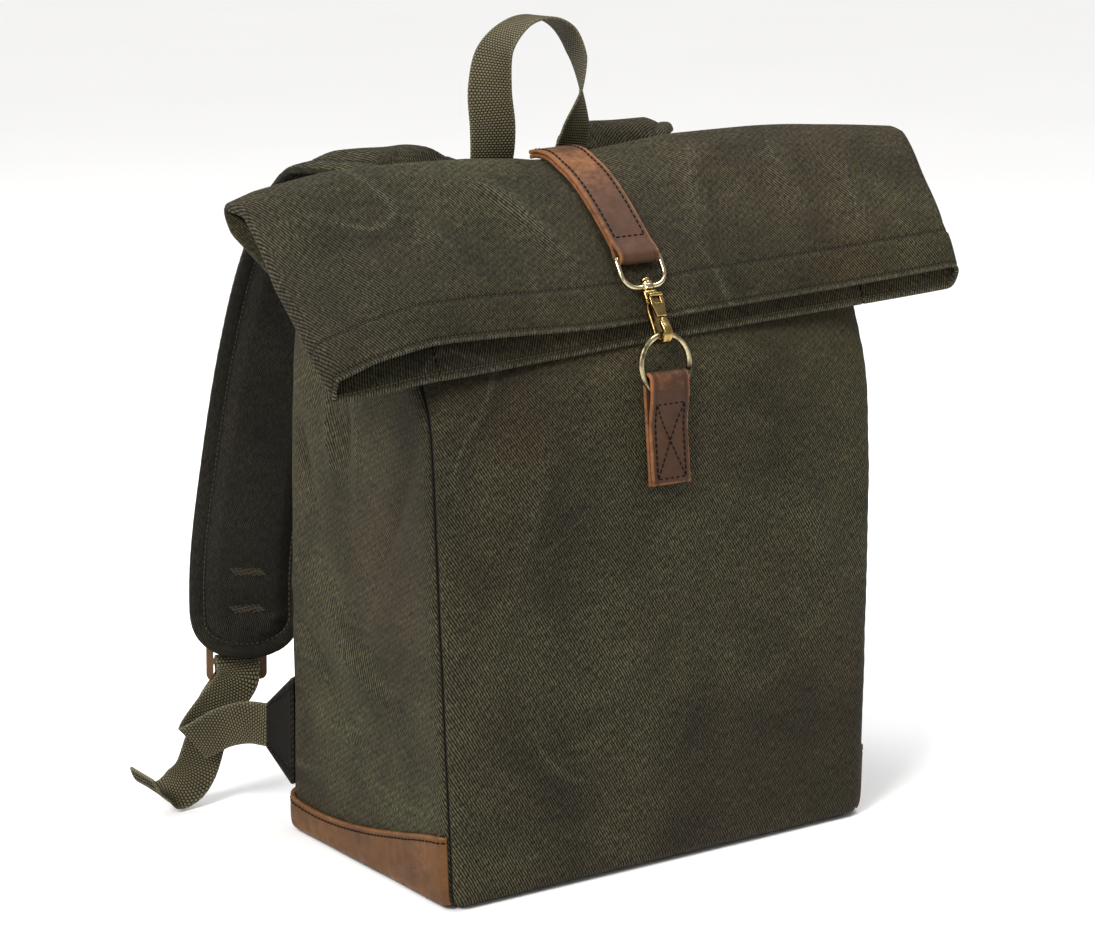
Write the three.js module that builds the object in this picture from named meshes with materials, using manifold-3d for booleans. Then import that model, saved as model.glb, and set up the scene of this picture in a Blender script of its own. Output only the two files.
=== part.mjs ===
// Waxed canvas roll-top backpack: a folded canvas tube on a flat base, leather trim, a brass swivel
// hook on a ring, a webbing handle and two padded shoulder straps. Millimetres, +Z up, the front
// faces -Y, and the origin is the middle of the base on the floor.
import * as THREE from "three";
import { mergeVertices } from "three/addons/utils/BufferGeometryUtils.js";
import Module from "manifold-3d";

const wasm = await Module();
wasm.setup();

// Driving dimensions
const CANVAS = 1.6;
const LEATHER = 2.4;
const GAP = 0.3;
const SEAM = 1.6;
const SEAM_GAP = 0.03;
const WEBBING = { width: 26, thickness: 1.8 };
const SIDE_FOLD = 2.4;

// The canvas tube, one row for each section from the base to the mouth. front and back are the Y and Z
// of the middle of the front and of the back layer, cornerX is half the front's width, sideX half the
// width at the middle of the side, crown the swell of front and back between the corners, round the
// reach of the corners' rounding, and strips the mesh strips down to the row before. The last rows
// lie on the flap, past the fold.
const TUBE = [
  { front: [-80.5, 1.2], back: [81, 1.2], cornerX: 137, sideX: 137, crown: 0, round: 8, strips: 0 },
  { front: [-85.5, 3.4], back: [86, 3.4], cornerX: 142.5, sideX: 142.5, crown: 0, round: 9, strips: 1 },
  { front: [-87.5, 10], back: [87.5, 10], cornerX: 145, sideX: 145, crown: 1, round: 10, strips: 2 },
  { front: [-88.2, 30], back: [88, 30], cornerX: 146, sideX: 146, crown: 2, round: 11, strips: 1 },
  { front: [-89, 70], back: [88, 70], cornerX: 147.5, sideX: 148, crown: 4, round: 12, strips: 1 },
  { front: [-90, 145], back: [89, 145], cornerX: 150, sideX: 150, crown: 7, round: 14, strips: 2 },
  { front: [-88, 215], back: [87, 225], cornerX: 152, sideX: 152, crown: 8, round: 15, strips: 2 },
  { front: [-82.5, 268], back: [82, 292], cornerX: 152, sideX: 156, crown: 8, round: 16, strips: 2 },
  { front: [-65, 303], back: [70, 336], cornerX: 148, sideX: 172, crown: 6, round: 18, strips: 2 },
  { front: [-42, 333], back: [54, 367], cornerX: 144, sideX: 191, crown: 4, round: 20, strips: 2 },
  { front: [-16, 359], back: [36, 386.5], cornerX: 140, sideX: 206, crown: 2, round: 20, strips: 2 },
  { front: [7, 378], back: [17, 392], cornerX: 140, sideX: 213, crown: 0, round: 20, strips: 2 },
  { front: [-1.5, 379], back: [0, 387], cornerX: 140, sideX: 213, crown: 0, round: 20, strips: 2 },
  { front: [-18, 370.5], back: [-16.5, 377.5], cornerX: 140, sideX: 212, crown: 0, round: 20, strips: 2 },
  { front: [-33, 357.5], back: [-33.5, 363], cornerX: 140, sideX: 211, crown: 0, round: 20, strips: 1 },
  { front: [-56.5, 330], back: [-60.5, 335], cornerX: 140, sideX: 210, crown: 0, round: 20, strips: 2 },
  { front: [-71.5, 297], back: [-73, 309], cornerX: 140, sideX: 209, crown: 0, round: 20, strips: 2 },
];

// How the fold lies askew, by row of the tube: turn and lean are a shift in Y and Z for each mm to
// the right, shift, bow and sag the shift in X, Y and Z at the ends, and round the half height of the
// right end.
const DRAPE = [
  { row: 0, turn: 0, lean: 0, shift: 0, bow: 0, sag: 0, round: SIDE_FOLD },
  { row: 5, turn: 0, lean: 0, shift: 3, bow: 0, sag: 0, round: SIDE_FOLD },
  { row: 7, turn: 0, lean: 0, shift: 4.5, bow: 0, sag: 0, round: SIDE_FOLD },
  { row: 11, turn: -0.085, lean: 0.055, shift: 6, bow: 0, sag: -5, round: SIDE_FOLD },
  { row: 14, turn: -0.04, lean: 0.05, shift: 6, bow: -3, sag: -2, round: 3.5 },
  { row: 16, turn: 0, lean: 0.05, shift: 5, bow: -8, sag: 2, round: 6.5 },
];

// Soft dents and folds of the body: the face they are on, their middle on it across and up, their
// slope from level in degrees, half length, half width, and depth (negative goes in).
const DENTS = [
  { face: "left", across: 22, up: 150, slope: 36, long: 62, wide: 13, depth: -3.5 },
  { face: "left", across: 0, up: 118, slope: 42, long: 45, wide: 13, depth: 2.5 },
  { face: "left", across: 28, up: 278, slope: 80, long: 36, wide: 16, depth: -6 },
  { face: "left", across: -18, up: 282, slope: 96, long: 34, wide: 13, depth: 3.5 },
  { face: "right", across: 18, up: 160, slope: 40, long: 60, wide: 15, depth: -3.5 },
  { face: "right", across: 10, up: 278, slope: 84, long: 36, wide: 18, depth: -5 },
  { face: "front", across: -62, up: 170, slope: 62, long: 80, wide: 32, depth: -2.5 },
  { face: "front", across: 70, up: 120, slope: -58, long: 80, wide: 36, depth: -2.5 },
  { face: "back", across: 0, up: 190, slope: 90, long: 110, wide: 50, depth: -4 },
];

// Top edge of the leather on the lower sides, by place round the section
const BASE_LEATHER = [
  { u: 2, top: 41 },
  { u: 3, top: 34 },
  { u: 4, top: 24 },
  { u: 5, top: 19 },
  { u: 6, top: 20 },
  { u: 7, top: 25 },
];

// Closing strap over the fold: the rows of the tube where it starts and where its eye is, its drift to
// the left and its rise off the flap at the eye
const STRAP = { width: 25.5, thickness: 5, from: 10.35, eye: 14.83, drift: -4, rise: 1.3 };

// Clasp, along its own line from the loop's bar down to the ring; HOOK_LINE is the middle of the
// hook's bent bar, out from that line and down it
const CLASP_SLOPE = 32;
const LOOP = { width: 33, topCorner: 2.1, corner: 6.5, wire: 1.5 };
const BOSS = { radius: 3.3, bore: 1.72, high: 2.6, low: 2.3 };
const POST = { radius: 1.6, head: 2.7, top: 5, under: 3 };
const HOOK = { width: 6, thickness: 3.2, ringAt: 28.7 };
const HOOK_BLOCK = { width: 9.4, top: 2.7, low: 10.2, back: 2.5, front: 2.2 };
const HOOK_SLOT = { width: 5, back: 1.75, top: 6.2 };
const HOOK_LINE = [
  { out: -1.6, down: 7.5 },
  { out: -3.4, down: 12 },
  { out: -3.9, down: 18 },
  { out: -4.2, down: 24 },
  { out: -4.4, down: 28 },
  { out: -3.1, down: 31.1 },
  { out: 0, down: 32.4 },
  { out: 3.1, down: 31.1 },
  { out: 4.4, down: 28 },
  { out: 4.1, down: 24 },
  { out: 3.9, down: 20.8 },
];
const PIN = { out: 0.6, down: 8.6, radius: 0.75, clear: 0.85 };
const GATE = { back: 2.55, thickness: 2.2, knuckle: 1.9, knuckleWidth: 4.4 };
const GATE_OUTLINE = [[-4.6, 5.6], [4.6, 5.6], [4.6, 11], [3.2, 19.7], [-3.2, 19.7], [-4.6, 11]];

// Ring and its tab, whose slot the ring hangs in
const RING = { radius: 16.3, wire: 1.7, up: 34.5 };
const TAB = { x: -4, z: 252, half: 31, width: 25, lean: 6, thickness: 5.3, slotLow: 15.5, slot: 2.05 };

// Webbing handle: the middle line between its sewn ends and the heading of its width, 0 along +X
const HANDLE_SEAT = { x: 27, low: 8.45, high: 9 };
const HANDLE = [
  { x: -26.5, y: 49, z: 386, heading: -14 },
  { x: -27.5, y: 46, z: 405, heading: -30 },
  { x: -30, y: 45, z: 428, heading: -50 },
  { x: -26, y: 45, z: 450, heading: -72 },
  { x: -11, y: 45, z: 464, heading: -86 },
  { x: 5, y: 45, z: 467, heading: -90 },
  { x: 20, y: 45, z: 461, heading: -92 },
  { x: 30, y: 45, z: 445, heading: -100 },
  { x: 33, y: 45, z: 424, heading: -125 },
  { x: 31, y: 46, z: 404, heading: -160 },
  { x: 28, y: 49, z: 386, heading: -176 },
];

// Shoulder pad of the left side, from its sewn top to its rounded end; spread is how much further out
// the right one stands. PAD_STEPS are the mesh steps between its rows, PAD_END those of its rounded
// end, and PAD_SECTION is half its section: across, and half the thickness there.
const PAD = { width: 68, thickness: 11, seatX: 62, seatLow: 7.6, seatHigh: 7.95, round: 0.945 };
const PAD_LINE = [
  { x: -61.5, y: 73, z: 352, heading: 0, spread: 0 },
  { x: -62.5, y: 68, z: 372, heading: 0, spread: 2 },
  { x: -69.5, y: 78, z: 389, heading: -2, spread: 8 },
  { x: -85.5, y: 98, z: 385, heading: -5, spread: 16 },
  { x: -100.5, y: 115.5, z: 362, heading: -8, spread: 12 },
  { x: -110.5, y: 129.5, z: 322, heading: -11, spread: 5 },
  { x: -119.5, y: 139.5, z: 268, heading: -15, spread: 0 },
  { x: -129.5, y: 143.5, z: 205, heading: -18, spread: 0 },
  { x: -139.5, y: 141.5, z: 145, heading: -20, spread: 0 },
  { x: -142.5, y: 137.5, z: 91, heading: -20, spread: 0 },
];
const PAD_STEPS = [1, 1, 3, 3, 3, 2, 2, 1, 1, 1, 1];
const PAD_END = [0, 0.25, 0.5, 0.7, 0.85, 0.95, 1];
const PAD_SECTION = [[-1, 1.8], [-0.76, 2.5], [-0.66, 4.6], [0, 5.5], [0.66, 4.6], [0.76, 2.5], [1, 1.8]];

// Three-bar slide buckle behind the pad's end, and the middle line of the webbing round its bars
const BUCKLE = { width: 36, opening: 28, bar: 2.6, pitch: 10.5, aside: -5, behind: 9.8, middle: -3, turn: 3 };

// Adjusting webbing of the left side by its two edges: out of the wing tab to a fold, back and up to
// the buckle, and from the buckle down behind to the free end by the floor
const WEBBING_RISE = [
  { lowX: -149, lowY: 112, lowZ: 44, highX: -143, highY: 107, highZ: 70.5 },
  { lowX: -154, lowY: 121, lowZ: 43.5, highX: -152, highY: 118.5, highZ: 71 },
  { lowX: -160, lowY: 130, lowZ: 40, highX: -166, highY: 130, highZ: 67 },
  { lowX: -167, lowY: 136, lowZ: 35.5, highX: -185, highY: 139, highZ: 56.5 },
  { lowX: -169.5, lowY: 139.5, lowZ: 33, highX: -187.5, highY: 142.5, highZ: 55 },
  { lowX: -166, lowY: 142.5, lowZ: 36, highX: -184, highY: 145.5, highZ: 57.5 },
  { lowX: -146, lowY: 142, lowZ: 56, highX: -172, highY: 150, highZ: 66 },
];
const WEBBING_TAIL = [
  { lowX: -143, lowY: 149, lowZ: 57, highX: -168, highY: 156, highZ: 62 },
  { lowX: -150, lowY: 151.5, lowZ: 37, highX: -175, highY: 157, highZ: 43 },
  { lowX: -159, lowY: 150.5, lowZ: 14, highX: -182, highY: 160, highZ: 26 },
  { lowX: -168, lowY: 149, lowZ: 7.5, highX: -188, highY: 163, highZ: 19 },
  { lowX: -181, lowY: 148, lowZ: 6.5, highX: -194, highY: 169, highZ: 14.5 },
  { lowX: -195, lowY: 147, lowZ: 12, highX: -201, highY: 171, highZ: 18 },
  { lowX: -202, lowY: 146, lowZ: 22, highX: -206, highY: 170, highZ: 28 },
];

// Wing tab that holds the webbing: its root on the back corner and its thickness
const WING = { place: 6.4, low: 31, high: 92, thickness: 2.4 };

const group = new THREE.Group();
group.name = "waxed_canvas_backpack";

const CANVAS_LOOK = { color: 0x4b4837, roughness: 0.78, metalness: 0 };
const LEATHER_LOOK = { color: 0x7a4a2c, roughness: 0.55, metalness: 0 };
const BRASS_LOOK = { color: 0xb89a55, roughness: 0.32, metalness: 1 };
const COPPER_LOOK = { color: 0x8a5a34, roughness: 0.4, metalness: 1 };
const WEBBING_LOOK = { color: 0x5a5a42, roughness: 0.85, metalness: 0 };

function addPiece(name, geometry, look, frame = group) {
  geometry.computeVertexNormals();
  const mesh = new THREE.Mesh(geometry, new THREE.MeshStandardMaterial(look));
  mesh.name = name;
  frame.add(mesh);
}

// A function through a table's rows, read by row number or by the named key column
function tableCurve(rows, columns, key, Curve = THREE.CubicInterpolant) {
  const positions = rows.map((row, index) => (key ? row[key] : index));
  const values = rows.flatMap((row) => columns.map((column) => row[column]));
  const curve = new Curve(positions, values, columns.length);
  return (at) => {
    const found = curve.evaluate(at);
    return Object.fromEntries(columns.map((column, index) => [column, found[index]]));
  };
}

function bareOf(geometry) {
  const bare = geometry.clone();
  bare.deleteAttribute("normal");
  bare.deleteAttribute("uv");
  return mergeVertices(bare, 1e-4);
}

function solidOf(geometry) {
  const merged = bareOf(geometry);
  const vertProperties = new Float32Array(merged.attributes.position.array);
  const triVerts = new Uint32Array(merged.index.array);
  return new wasm.Manifold(new wasm.Mesh({ numProp: 3, vertProperties, triVerts }));
}

function geometryOf(solid) {
  const mesh = solid.getMesh();
  const geometry = new THREE.BufferGeometry();
  geometry.setAttribute("position", new THREE.BufferAttribute(new Float32Array(mesh.vertProperties), 3));
  geometry.setIndex(new THREE.BufferAttribute(new Uint32Array(mesh.triVerts), 1));
  return geometry;
}

// A closed body from rings of points: each ring is joined to the next and the two ends are closed,
// or the last ring is joined to the first
function loft(rings, closed = false) {
  const sides = rings[0].length;
  const positions = rings.flat().flatMap((point) => point.toArray());
  const index = [];
  const spans = closed ? rings.length : rings.length - 1;
  for (let i = 0; i < spans; i += 1) {
    const a = i * sides;
    const b = ((i + 1) % rings.length) * sides;
    for (let k = 0; k < sides; k += 1) {
      const n = (k + 1) % sides;
      index.push(a + k, b + k, b + n, a + k, b + n, a + n);
    }
  }
  if (!closed) {
    const outline = rings[0].map((point, k) => k);
    const end = (rings.length - 1) * sides;
    for (const [a, b, c] of capTriangles(rings[0])) {
      index.push(outline[a], outline[b], outline[c]);
    }
    for (const [a, b, c] of capTriangles(rings[rings.length - 1])) {
      index.push(end + a, end + c, end + b);
    }
  }
  const geometry = new THREE.BufferGeometry();
  geometry.setAttribute("position", new THREE.Float32BufferAttribute(positions, 3));
  geometry.setIndex(index);
  return outward(geometry);
}

// Strips across a ring that is long and flat, pairing its points from both ends
function capTriangles(ring) {
  const faces = [];
  let low = 0;
  let high = ring.length - 1;
  while (high - low > 1) {
    faces.push([low, low + 1, high]);
    if (high - low > 2) {
      faces.push([low + 1, high - 1, high]);
    }
    low += 1;
    high -= 1;
  }
  return faces;
}

// Turns the faces over if the body is inside out
function outward(geometry) {
  const at = geometry.attributes.position;
  const index = geometry.index.array;
  const a = new THREE.Vector3();
  const b = new THREE.Vector3();
  const c = new THREE.Vector3();
  let volume = 0;
  for (let i = 0; i < index.length; i += 3) {
    a.fromBufferAttribute(at, index[i]);
    b.fromBufferAttribute(at, index[i + 1]);
    c.fromBufferAttribute(at, index[i + 2]);
    volume += a.dot(b.cross(c));
  }
  if (volume < 0) {
    for (let i = 0; i < index.length; i += 3) {
      [index[i + 1], index[i + 2]] = [index[i + 2], index[i + 1]];
    }
  }
  return geometry;
}

// A sheet of even thickness on a grid of points, with its rim closed
function sheet(grid, normals, thickness) {
  const rows = grid.length;
  const columns = grid[0].length;
  const positions = [];
  for (const side of [0.5, -0.5]) {
    for (let i = 0; i < rows; i += 1) {
      for (let k = 0; k < columns; k += 1) {
        positions.push(...grid[i][k].clone().addScaledVector(normals[i][k], side * thickness).toArray());
      }
    }
  }
  const index = [];
  const under = rows * columns;
  const quad = (a, b, c, d) => index.push(a, b, c, a, c, d);
  for (let i = 0; i < rows - 1; i += 1) {
    for (let k = 0; k < columns - 1; k += 1) {
      const a = i * columns + k;
      const b = a + columns;
      quad(a, a + 1, b + 1, b);
      quad(under + a, under + b, under + b + 1, under + a + 1);
    }
  }
  const rim = [];
  for (let k = 0; k < columns - 1; k += 1) rim.push(k);
  for (let i = 0; i < rows - 1; i += 1) rim.push(i * columns + columns - 1);
  for (let k = columns - 1; k > 0; k -= 1) rim.push((rows - 1) * columns + k);
  for (let i = rows - 1; i > 0; i -= 1) rim.push(i * columns);
  rim.forEach((a, i) => {
    const b = rim[(i + 1) % rim.length];
    quad(a, under + a, under + b, b);
  });
  const geometry = new THREE.BufferGeometry();
  geometry.setAttribute("position", new THREE.Float32BufferAttribute(positions, 3));
  geometry.setIndex(index);
  return outward(geometry);
}

// Canvas tube
const TUBE_COLUMNS = ["frontY", "frontZ", "backY", "backZ", "cornerX", "sideX", "crown", "round"];
const tubeAt = tableCurve(TUBE.map(({ front, back, ...rest }) => (
  { frontY: front[0], frontZ: front[1], backY: back[0], backZ: back[1], ...rest })), TUBE_COLUMNS);
const DRAPE_COLUMNS = ["turn", "lean", "shift", "bow", "sag", "round"];
const drapeAt = tableCurve(DRAPE, DRAPE_COLUMNS, "row", THREE.LinearInterpolant);

function quadratic(a, b, c, t) {
  const ab = a.clone().lerp(b, t);
  const bc = b.clone().lerp(c, t);
  return ab.lerp(bc, t);
}

function toward(from, to, distance) {
  const way = to.clone().sub(from);
  return from.clone().addScaledVector(way, Math.min(0.5, distance / way.length()));
}

// A point of half the tube's section, across and deep, for u from 0, the middle of the front, over 2,
// the end of the front corner, and 4, the side fold, to 8, the middle of the back
function sectionPoint(u, half, edge) {
  const frontCorner = new THREE.Vector2(half.cornerX, -half.depth + half.crown);
  const backCorner = new THREE.Vector2(half.cornerX, half.depth - half.crown);
  const flat = half.depth / 4;
  const open = THREE.MathUtils.clamp((half.sideX - half.cornerX) / 40, 0, 1);
  const reach = THREE.MathUtils.lerp(flat, edge, open);
  const low = new THREE.Vector2(half.sideX, -reach);
  const high = new THREE.Vector2(half.sideX, reach);
  const corners = [frontCorner, low, high, backCorner];
  const rounds = [half.round, reach * 0.98, reach * 0.98, half.round];
  const front = new THREE.Vector2(0, frontCorner.y);
  const back = new THREE.Vector2(0, backCorner.y);
  const line = [front, ...corners, back];
  const starts = corners.map((corner, i) => toward(corner, line[i], rounds[i]));
  const ends = corners.map((corner, i) => toward(corner, line[i + 2], rounds[i]));
  const span = Math.min(Math.floor(u), 7);
  const t = u - span;
  const pieces = [
    () => front.clone().lerp(starts[0], t),
    () => quadratic(starts[0], corners[0], ends[0], t),
    () => ends[0].clone().lerp(starts[1], t),
    () => quadratic(starts[1], corners[1], ends[1], t),
    () => quadratic(starts[2], corners[2], ends[2], t),
    () => ends[2].clone().lerp(starts[3], t),
    () => quadratic(starts[3], corners[3], ends[3], t),
    () => ends[3].clone().lerp(back, t),
  ];
  const point = pieces[span]();
  const bulge = half.crown * Math.max(0, 1 - (point.x / half.cornerX) ** 2);
  point.y += u < 4 ? -bulge : bulge;
  return point;
}

function dentDepth(point, face) {
  let depth = 0;
  for (const dent of DENTS) {
    if (dent.face !== face) continue;
    const across = (face === "left" || face === "right" ? point.y : point.x) - dent.across;
    const up = point.z - dent.up;
    const angle = THREE.MathUtils.degToRad(dent.slope);
    const along = (across * Math.cos(angle) + up * Math.sin(angle)) / dent.long;
    const aside = (up * Math.cos(angle) - across * Math.sin(angle)) / dent.wide;
    depth += dent.depth * Math.exp(-along * along - aside * aside);
  }
  return depth;
}

// The tube's middle surface: w runs from -8, the middle of the back, over the left side to 0, the
// middle of the front, and over the right side to 8; v is the row of the table
function tubePoint(w, v) {
  const row = tubeAt(v);
  const drape = drapeAt(v);
  const side = w < 0 ? -1 : 1;
  const front = new THREE.Vector2(row.frontY, row.frontZ);
  const deep = new THREE.Vector2(row.backY, row.backZ).sub(front);
  const half = { ...row, depth: deep.length() / 2 };
  const flat = sectionPoint(Math.abs(w), half, side < 0 ? SIDE_FOLD : drape.round);
  const share = (flat.y + half.depth) / (2 * half.depth);
  const x = side * flat.x;
  const out = (x / row.sideX) ** 2;
  const y = front.x + deep.x * share + drape.turn * x + drape.bow * out;
  const z = front.y + deep.y * share + drape.lean * x + drape.sag * out * out;
  return new THREE.Vector3(x + drape.shift * out, y, z);
}

function tubeNormal(w, v) {
  const e = 0.02;
  const across = tubePoint(w + e, v).sub(tubePoint(w - e, v));
  const up = tubePoint(w, Math.min(v + e, TUBE.length - 1)).sub(tubePoint(w, Math.max(v - e, 0)));
  return across.cross(up).normalize();
}

const faceOf = (w) => {
  const u = Math.abs(w);
  if (u < 1.5) return "front";
  if (u > 6.5) return "back";
  return w < 0 ? "left" : "right";
};

function skinPoint(w, v, lift = 0) {
  const point = tubePoint(w, v);
  const depth = v < 9 ? dentDepth(point, faceOf(w)) : 0;
  return point.addScaledVector(tubeNormal(w, v), depth + lift);
}

const tubeRows = TUBE.flatMap((row, i) =>
  Array.from({ length: row.strips }, (unused, k) => i - 1 + (k + 1) / row.strips));
tubeRows.unshift(0);

function steps(from, to, count) {
  return Array.from({ length: count }, (unused, k) => THREE.MathUtils.lerp(from, to, (k + 1) / count));
}

function panel(columns) {
  const grid = tubeRows.map((v) => columns.map((w) => skinPoint(w, v)));
  const normals = tubeRows.map((v) => columns.map((w) => tubeNormal(w, v)));
  return sheet(grid, normals, CANVAS);
}

// Columns of a run of section spans, each with its own count
function spans(from, counts) {
  const found = [from];
  counts.forEach((count, i) => found.push(...steps(from + i, from + i + 1, count)));
  return found;
}

const mirrored = (columns) => columns.map((w) => -w).reverse();
const frontHalf = [...spans(0, [4]), ...steps(1, SEAM, 2)];
const sideHalf = [SEAM + SEAM_GAP, ...spans(2, [2, 2, 2, 2, 2, 3])];

addPiece("front_panel", panel([...mirrored(frontHalf).slice(0, -1), ...frontHalf]), CANVAS_LOOK);
const acrossBack = [...sideHalf, ...sideHalf.slice(0, -1).reverse().map((w) => 16 - w)];
addPiece("back_and_sides", panel(acrossBack.map((w) => (w > 8 ? w - 16 : w))), CANVAS_LOOK);

// Base, inside the first section of the tube
const baseOutline = [...frontHalf, ...sideHalf.slice(1)].map((w) => tubePoint(w, 0));
const baseShape = new THREE.Shape();
const inset = (point) => {
  const share = 1 - (GAP * 1.5) / Math.hypot(point.x, point.y);
  return new THREE.Vector2(point.x * share, point.y * share);
};
const baseRight = baseOutline.map(inset);
const baseLeft = baseRight.slice(1, -1).reverse().map((point) => new THREE.Vector2(-point.x, point.y));
baseShape.setFromPoints([...baseRight, ...baseLeft]);
addPiece("base_panel", new THREE.ExtrudeGeometry(baseShape, { depth: CANVAS, bevelEnabled: false }),
  CANVAS_LOOK);

// Leather on the lower sides
const leatherTop = tableCurve(BASE_LEATHER, ["top"], "u", THREE.LinearInterpolant);

function rowAtHeight(w, height) {
  let low = 0;
  let high = 8;
  for (let i = 0; i < 30; i += 1) {
    const middle = (low + high) / 2;
    if (tubePoint(w, middle).z < height) low = middle;
    else high = middle;
  }
  return (low + high) / 2;
}

function baseLeather(side) {
  const columns = sideHalf.filter((u) => u > 1.99 && u < 7.01).map((u) => side * u);
  const lift = CANVAS / 2 + GAP + LEATHER / 2;
  const topRows = columns.map((w) => rowAtHeight(w, leatherTop(Math.abs(w)).top));
  const rows = [1.25, 1.5, 2].map((v) => columns.map(() => v));
  rows.push(topRows.map((top) => (2 + top) / 2), topRows);
  const grid = rows.map((row) => row.map((v, k) => skinPoint(columns[k], v, lift)));
  const normals = rows.map((row) => row.map((v, k) => tubeNormal(columns[k], v)));
  return sheet(grid, normals, LEATHER);
}

addPiece("left_corner_leather", baseLeather(-1), LEATHER_LOOK);
addPiece("right_corner_leather", baseLeather(1), LEATHER_LOOK);

// Flat strips: a ring of points at each station, from a middle line and the heading of the width
function flatSection(width, thickness, round = 0) {
  const w = width / 2;
  const t = thickness / 2;
  if (round === 0) return [[-w, -t], [w, -t], [w, t], [-w, t]];
  return [
    [-w + round, -t], [w - round, -t], [w, -t + round], [w, t - round],
    [w - round, t], [-w + round, t], [-w, t - round], [-w, -t + round],
  ];
}

function strip(stations, sectionOf) {
  const rings = stations.map((station) => {
    const { at, along, across } = station;
    const wide = across.clone().addScaledVector(along, -across.dot(along)).normalize();
    const normal = along.clone().cross(wide).normalize();
    return sectionOf(station).map(([w, n]) => at.clone().addScaledVector(wide, w).addScaledVector(normal, n));
  });
  return loft(rings);
}

// Stations along a smooth line through points, with the width's direction blended between them
function stationLine(points, acrosses, shares) {
  const curve = new THREE.CatmullRomCurve3(points, false, "centripetal");
  return shares.map((t) => {
    const place = Math.min(t * (points.length - 1), points.length - 1.000001);
    const row = Math.floor(place);
    const across = acrosses[row].clone().lerp(acrosses[row + 1], place - row).normalize();
    return { at: curve.getPoint(t), along: curve.getTangent(t), across, t };
  });
}

function headingOf(degrees) {
  const turn = THREE.MathUtils.degToRad(degrees);
  return new THREE.Vector3(Math.cos(turn), Math.sin(turn), 0);
}

// A place on the back at x across and row v, lifted so that a strip of the thickness lies on it, and
// the direction across the back there
function backSeat(x, v, thickness) {
  const row = tubeAt(v);
  const u = 8 - Math.abs(x) / (row.cornerX - row.round);
  return skinPoint(x < 0 ? -u : u, v, CANVAS / 2 + GAP + thickness / 2);
}

function backWay(x, v) {
  return backSeat(x + 8, v, 0).sub(backSeat(x - 8, v, 0)).normalize();
}

function rod(radius, from, to, sides = 16) {
  const way = to.clone().sub(from);
  const geometry = new THREE.CylinderGeometry(radius, radius, way.length(), sides);
  const turn = new THREE.Quaternion().setFromUnitVectors(new THREE.Vector3(0, 1, 0), way.normalize());
  geometry.applyQuaternion(turn);
  const middle = from.clone().lerp(to, 0.5);
  return solidOf(geometry.translate(middle.x, middle.y, middle.z));
}

function block(low, high) {
  const size = high.clone().sub(low);
  const middle = low.clone().lerp(high, 0.5);
  const geometry = new THREE.BoxGeometry(size.x, size.y, size.z);
  return solidOf(geometry.translate(middle.x, middle.y, middle.z));
}

function mirror(geometry) {
  return outward(bareOf(geometry).scale(-1, 1, 1));
}

// Webbing handle
const handlePoints = HANDLE.map((row) => new THREE.Vector3(row.x, row.y, row.z));
const handleWays = HANDLE.map((row) => headingOf(row.heading));
for (const v of [HANDLE_SEAT.high, HANDLE_SEAT.low]) {
  handlePoints.unshift(backSeat(-HANDLE_SEAT.x, v, WEBBING.thickness + GAP));
  handleWays.unshift(backWay(-HANDLE_SEAT.x, v));
  handlePoints.push(backSeat(HANDLE_SEAT.x, v, WEBBING.thickness + GAP));
  handleWays.push(backWay(HANDLE_SEAT.x, v).negate());
}
const webbingSection = () => flatSection(WEBBING.width, WEBBING.thickness);
const handleLine = stationLine(handlePoints, handleWays, [0, ...steps(0, 1, 30)]);
addPiece("grab_handle", strip(handleLine, webbingSection), WEBBING_LOOK);

// Ring tab, drawn from the side in its own frame on the front: out is -Y, the fold is at the top
const tabFrame = new THREE.Group();
const tabLean = THREE.MathUtils.degToRad(TAB.lean);
const tabSeats = [-TAB.half, -TAB.half / 2, 0, TAB.half / 2, TAB.half].map((up) => {
  const face = skinPoint(0, rowAtHeight(0, TAB.z + up), CANVAS / 2 + GAP);
  return face.y - up * Math.tan(tabLean);
});
tabFrame.position.set(TAB.x, Math.min(...tabSeats), TAB.z);
tabFrame.rotation.x = -tabLean;
group.add(tabFrame);

const foldRadius = TAB.slot + LEATHER;
const foldAt = TAB.half - foldRadius;
const tabSide = new THREE.Shape();
tabSide.moveTo(0, -TAB.half);
tabSide.lineTo(0, foldAt);
tabSide.absarc(-foldRadius, foldAt, foldRadius, 0, Math.PI, false);
tabSide.lineTo(-2 * foldRadius, TAB.slotLow);
tabSide.lineTo(-TAB.thickness, TAB.slotLow - 9);
tabSide.lineTo(-TAB.thickness, -TAB.half);
const tabSlot = new THREE.Path();
tabSlot.moveTo(-foldRadius - TAB.slot, TAB.slotLow);
tabSlot.lineTo(-foldRadius - TAB.slot, foldAt);
tabSlot.absarc(-foldRadius, foldAt, TAB.slot, Math.PI, 0, true);
tabSlot.lineTo(-foldRadius + TAB.slot, TAB.slotLow);
tabSlot.absarc(-foldRadius, TAB.slotLow, TAB.slot, 0, Math.PI, true);
tabSide.holes.push(tabSlot);

// A side outline, across Y and up Z, drawn out to a width along X
function extrudeAcross(shape, width) {
  const geometry = new THREE.ExtrudeGeometry(shape, { depth: width, bevelEnabled: false, curveSegments: 6 });
  const turn = new THREE.Matrix4().makeBasis(
    new THREE.Vector3(0, 1, 0), new THREE.Vector3(0, 0, 1), new THREE.Vector3(1, 0, 0));
  return geometry.applyMatrix4(turn).translate(-width / 2, 0, 0);
}

addPiece("ring_tab", extrudeAcross(tabSide, TAB.width), LEATHER_LOOK, tabFrame);

const ringGeometry = new THREE.TorusGeometry(RING.radius, RING.wire, 8, 24);
ringGeometry.rotateX(Math.PI / 2);
ringGeometry.translate(0, -foldRadius, RING.up);
addPiece("ring", ringGeometry, BRASS_LOOK, tabFrame);

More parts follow.
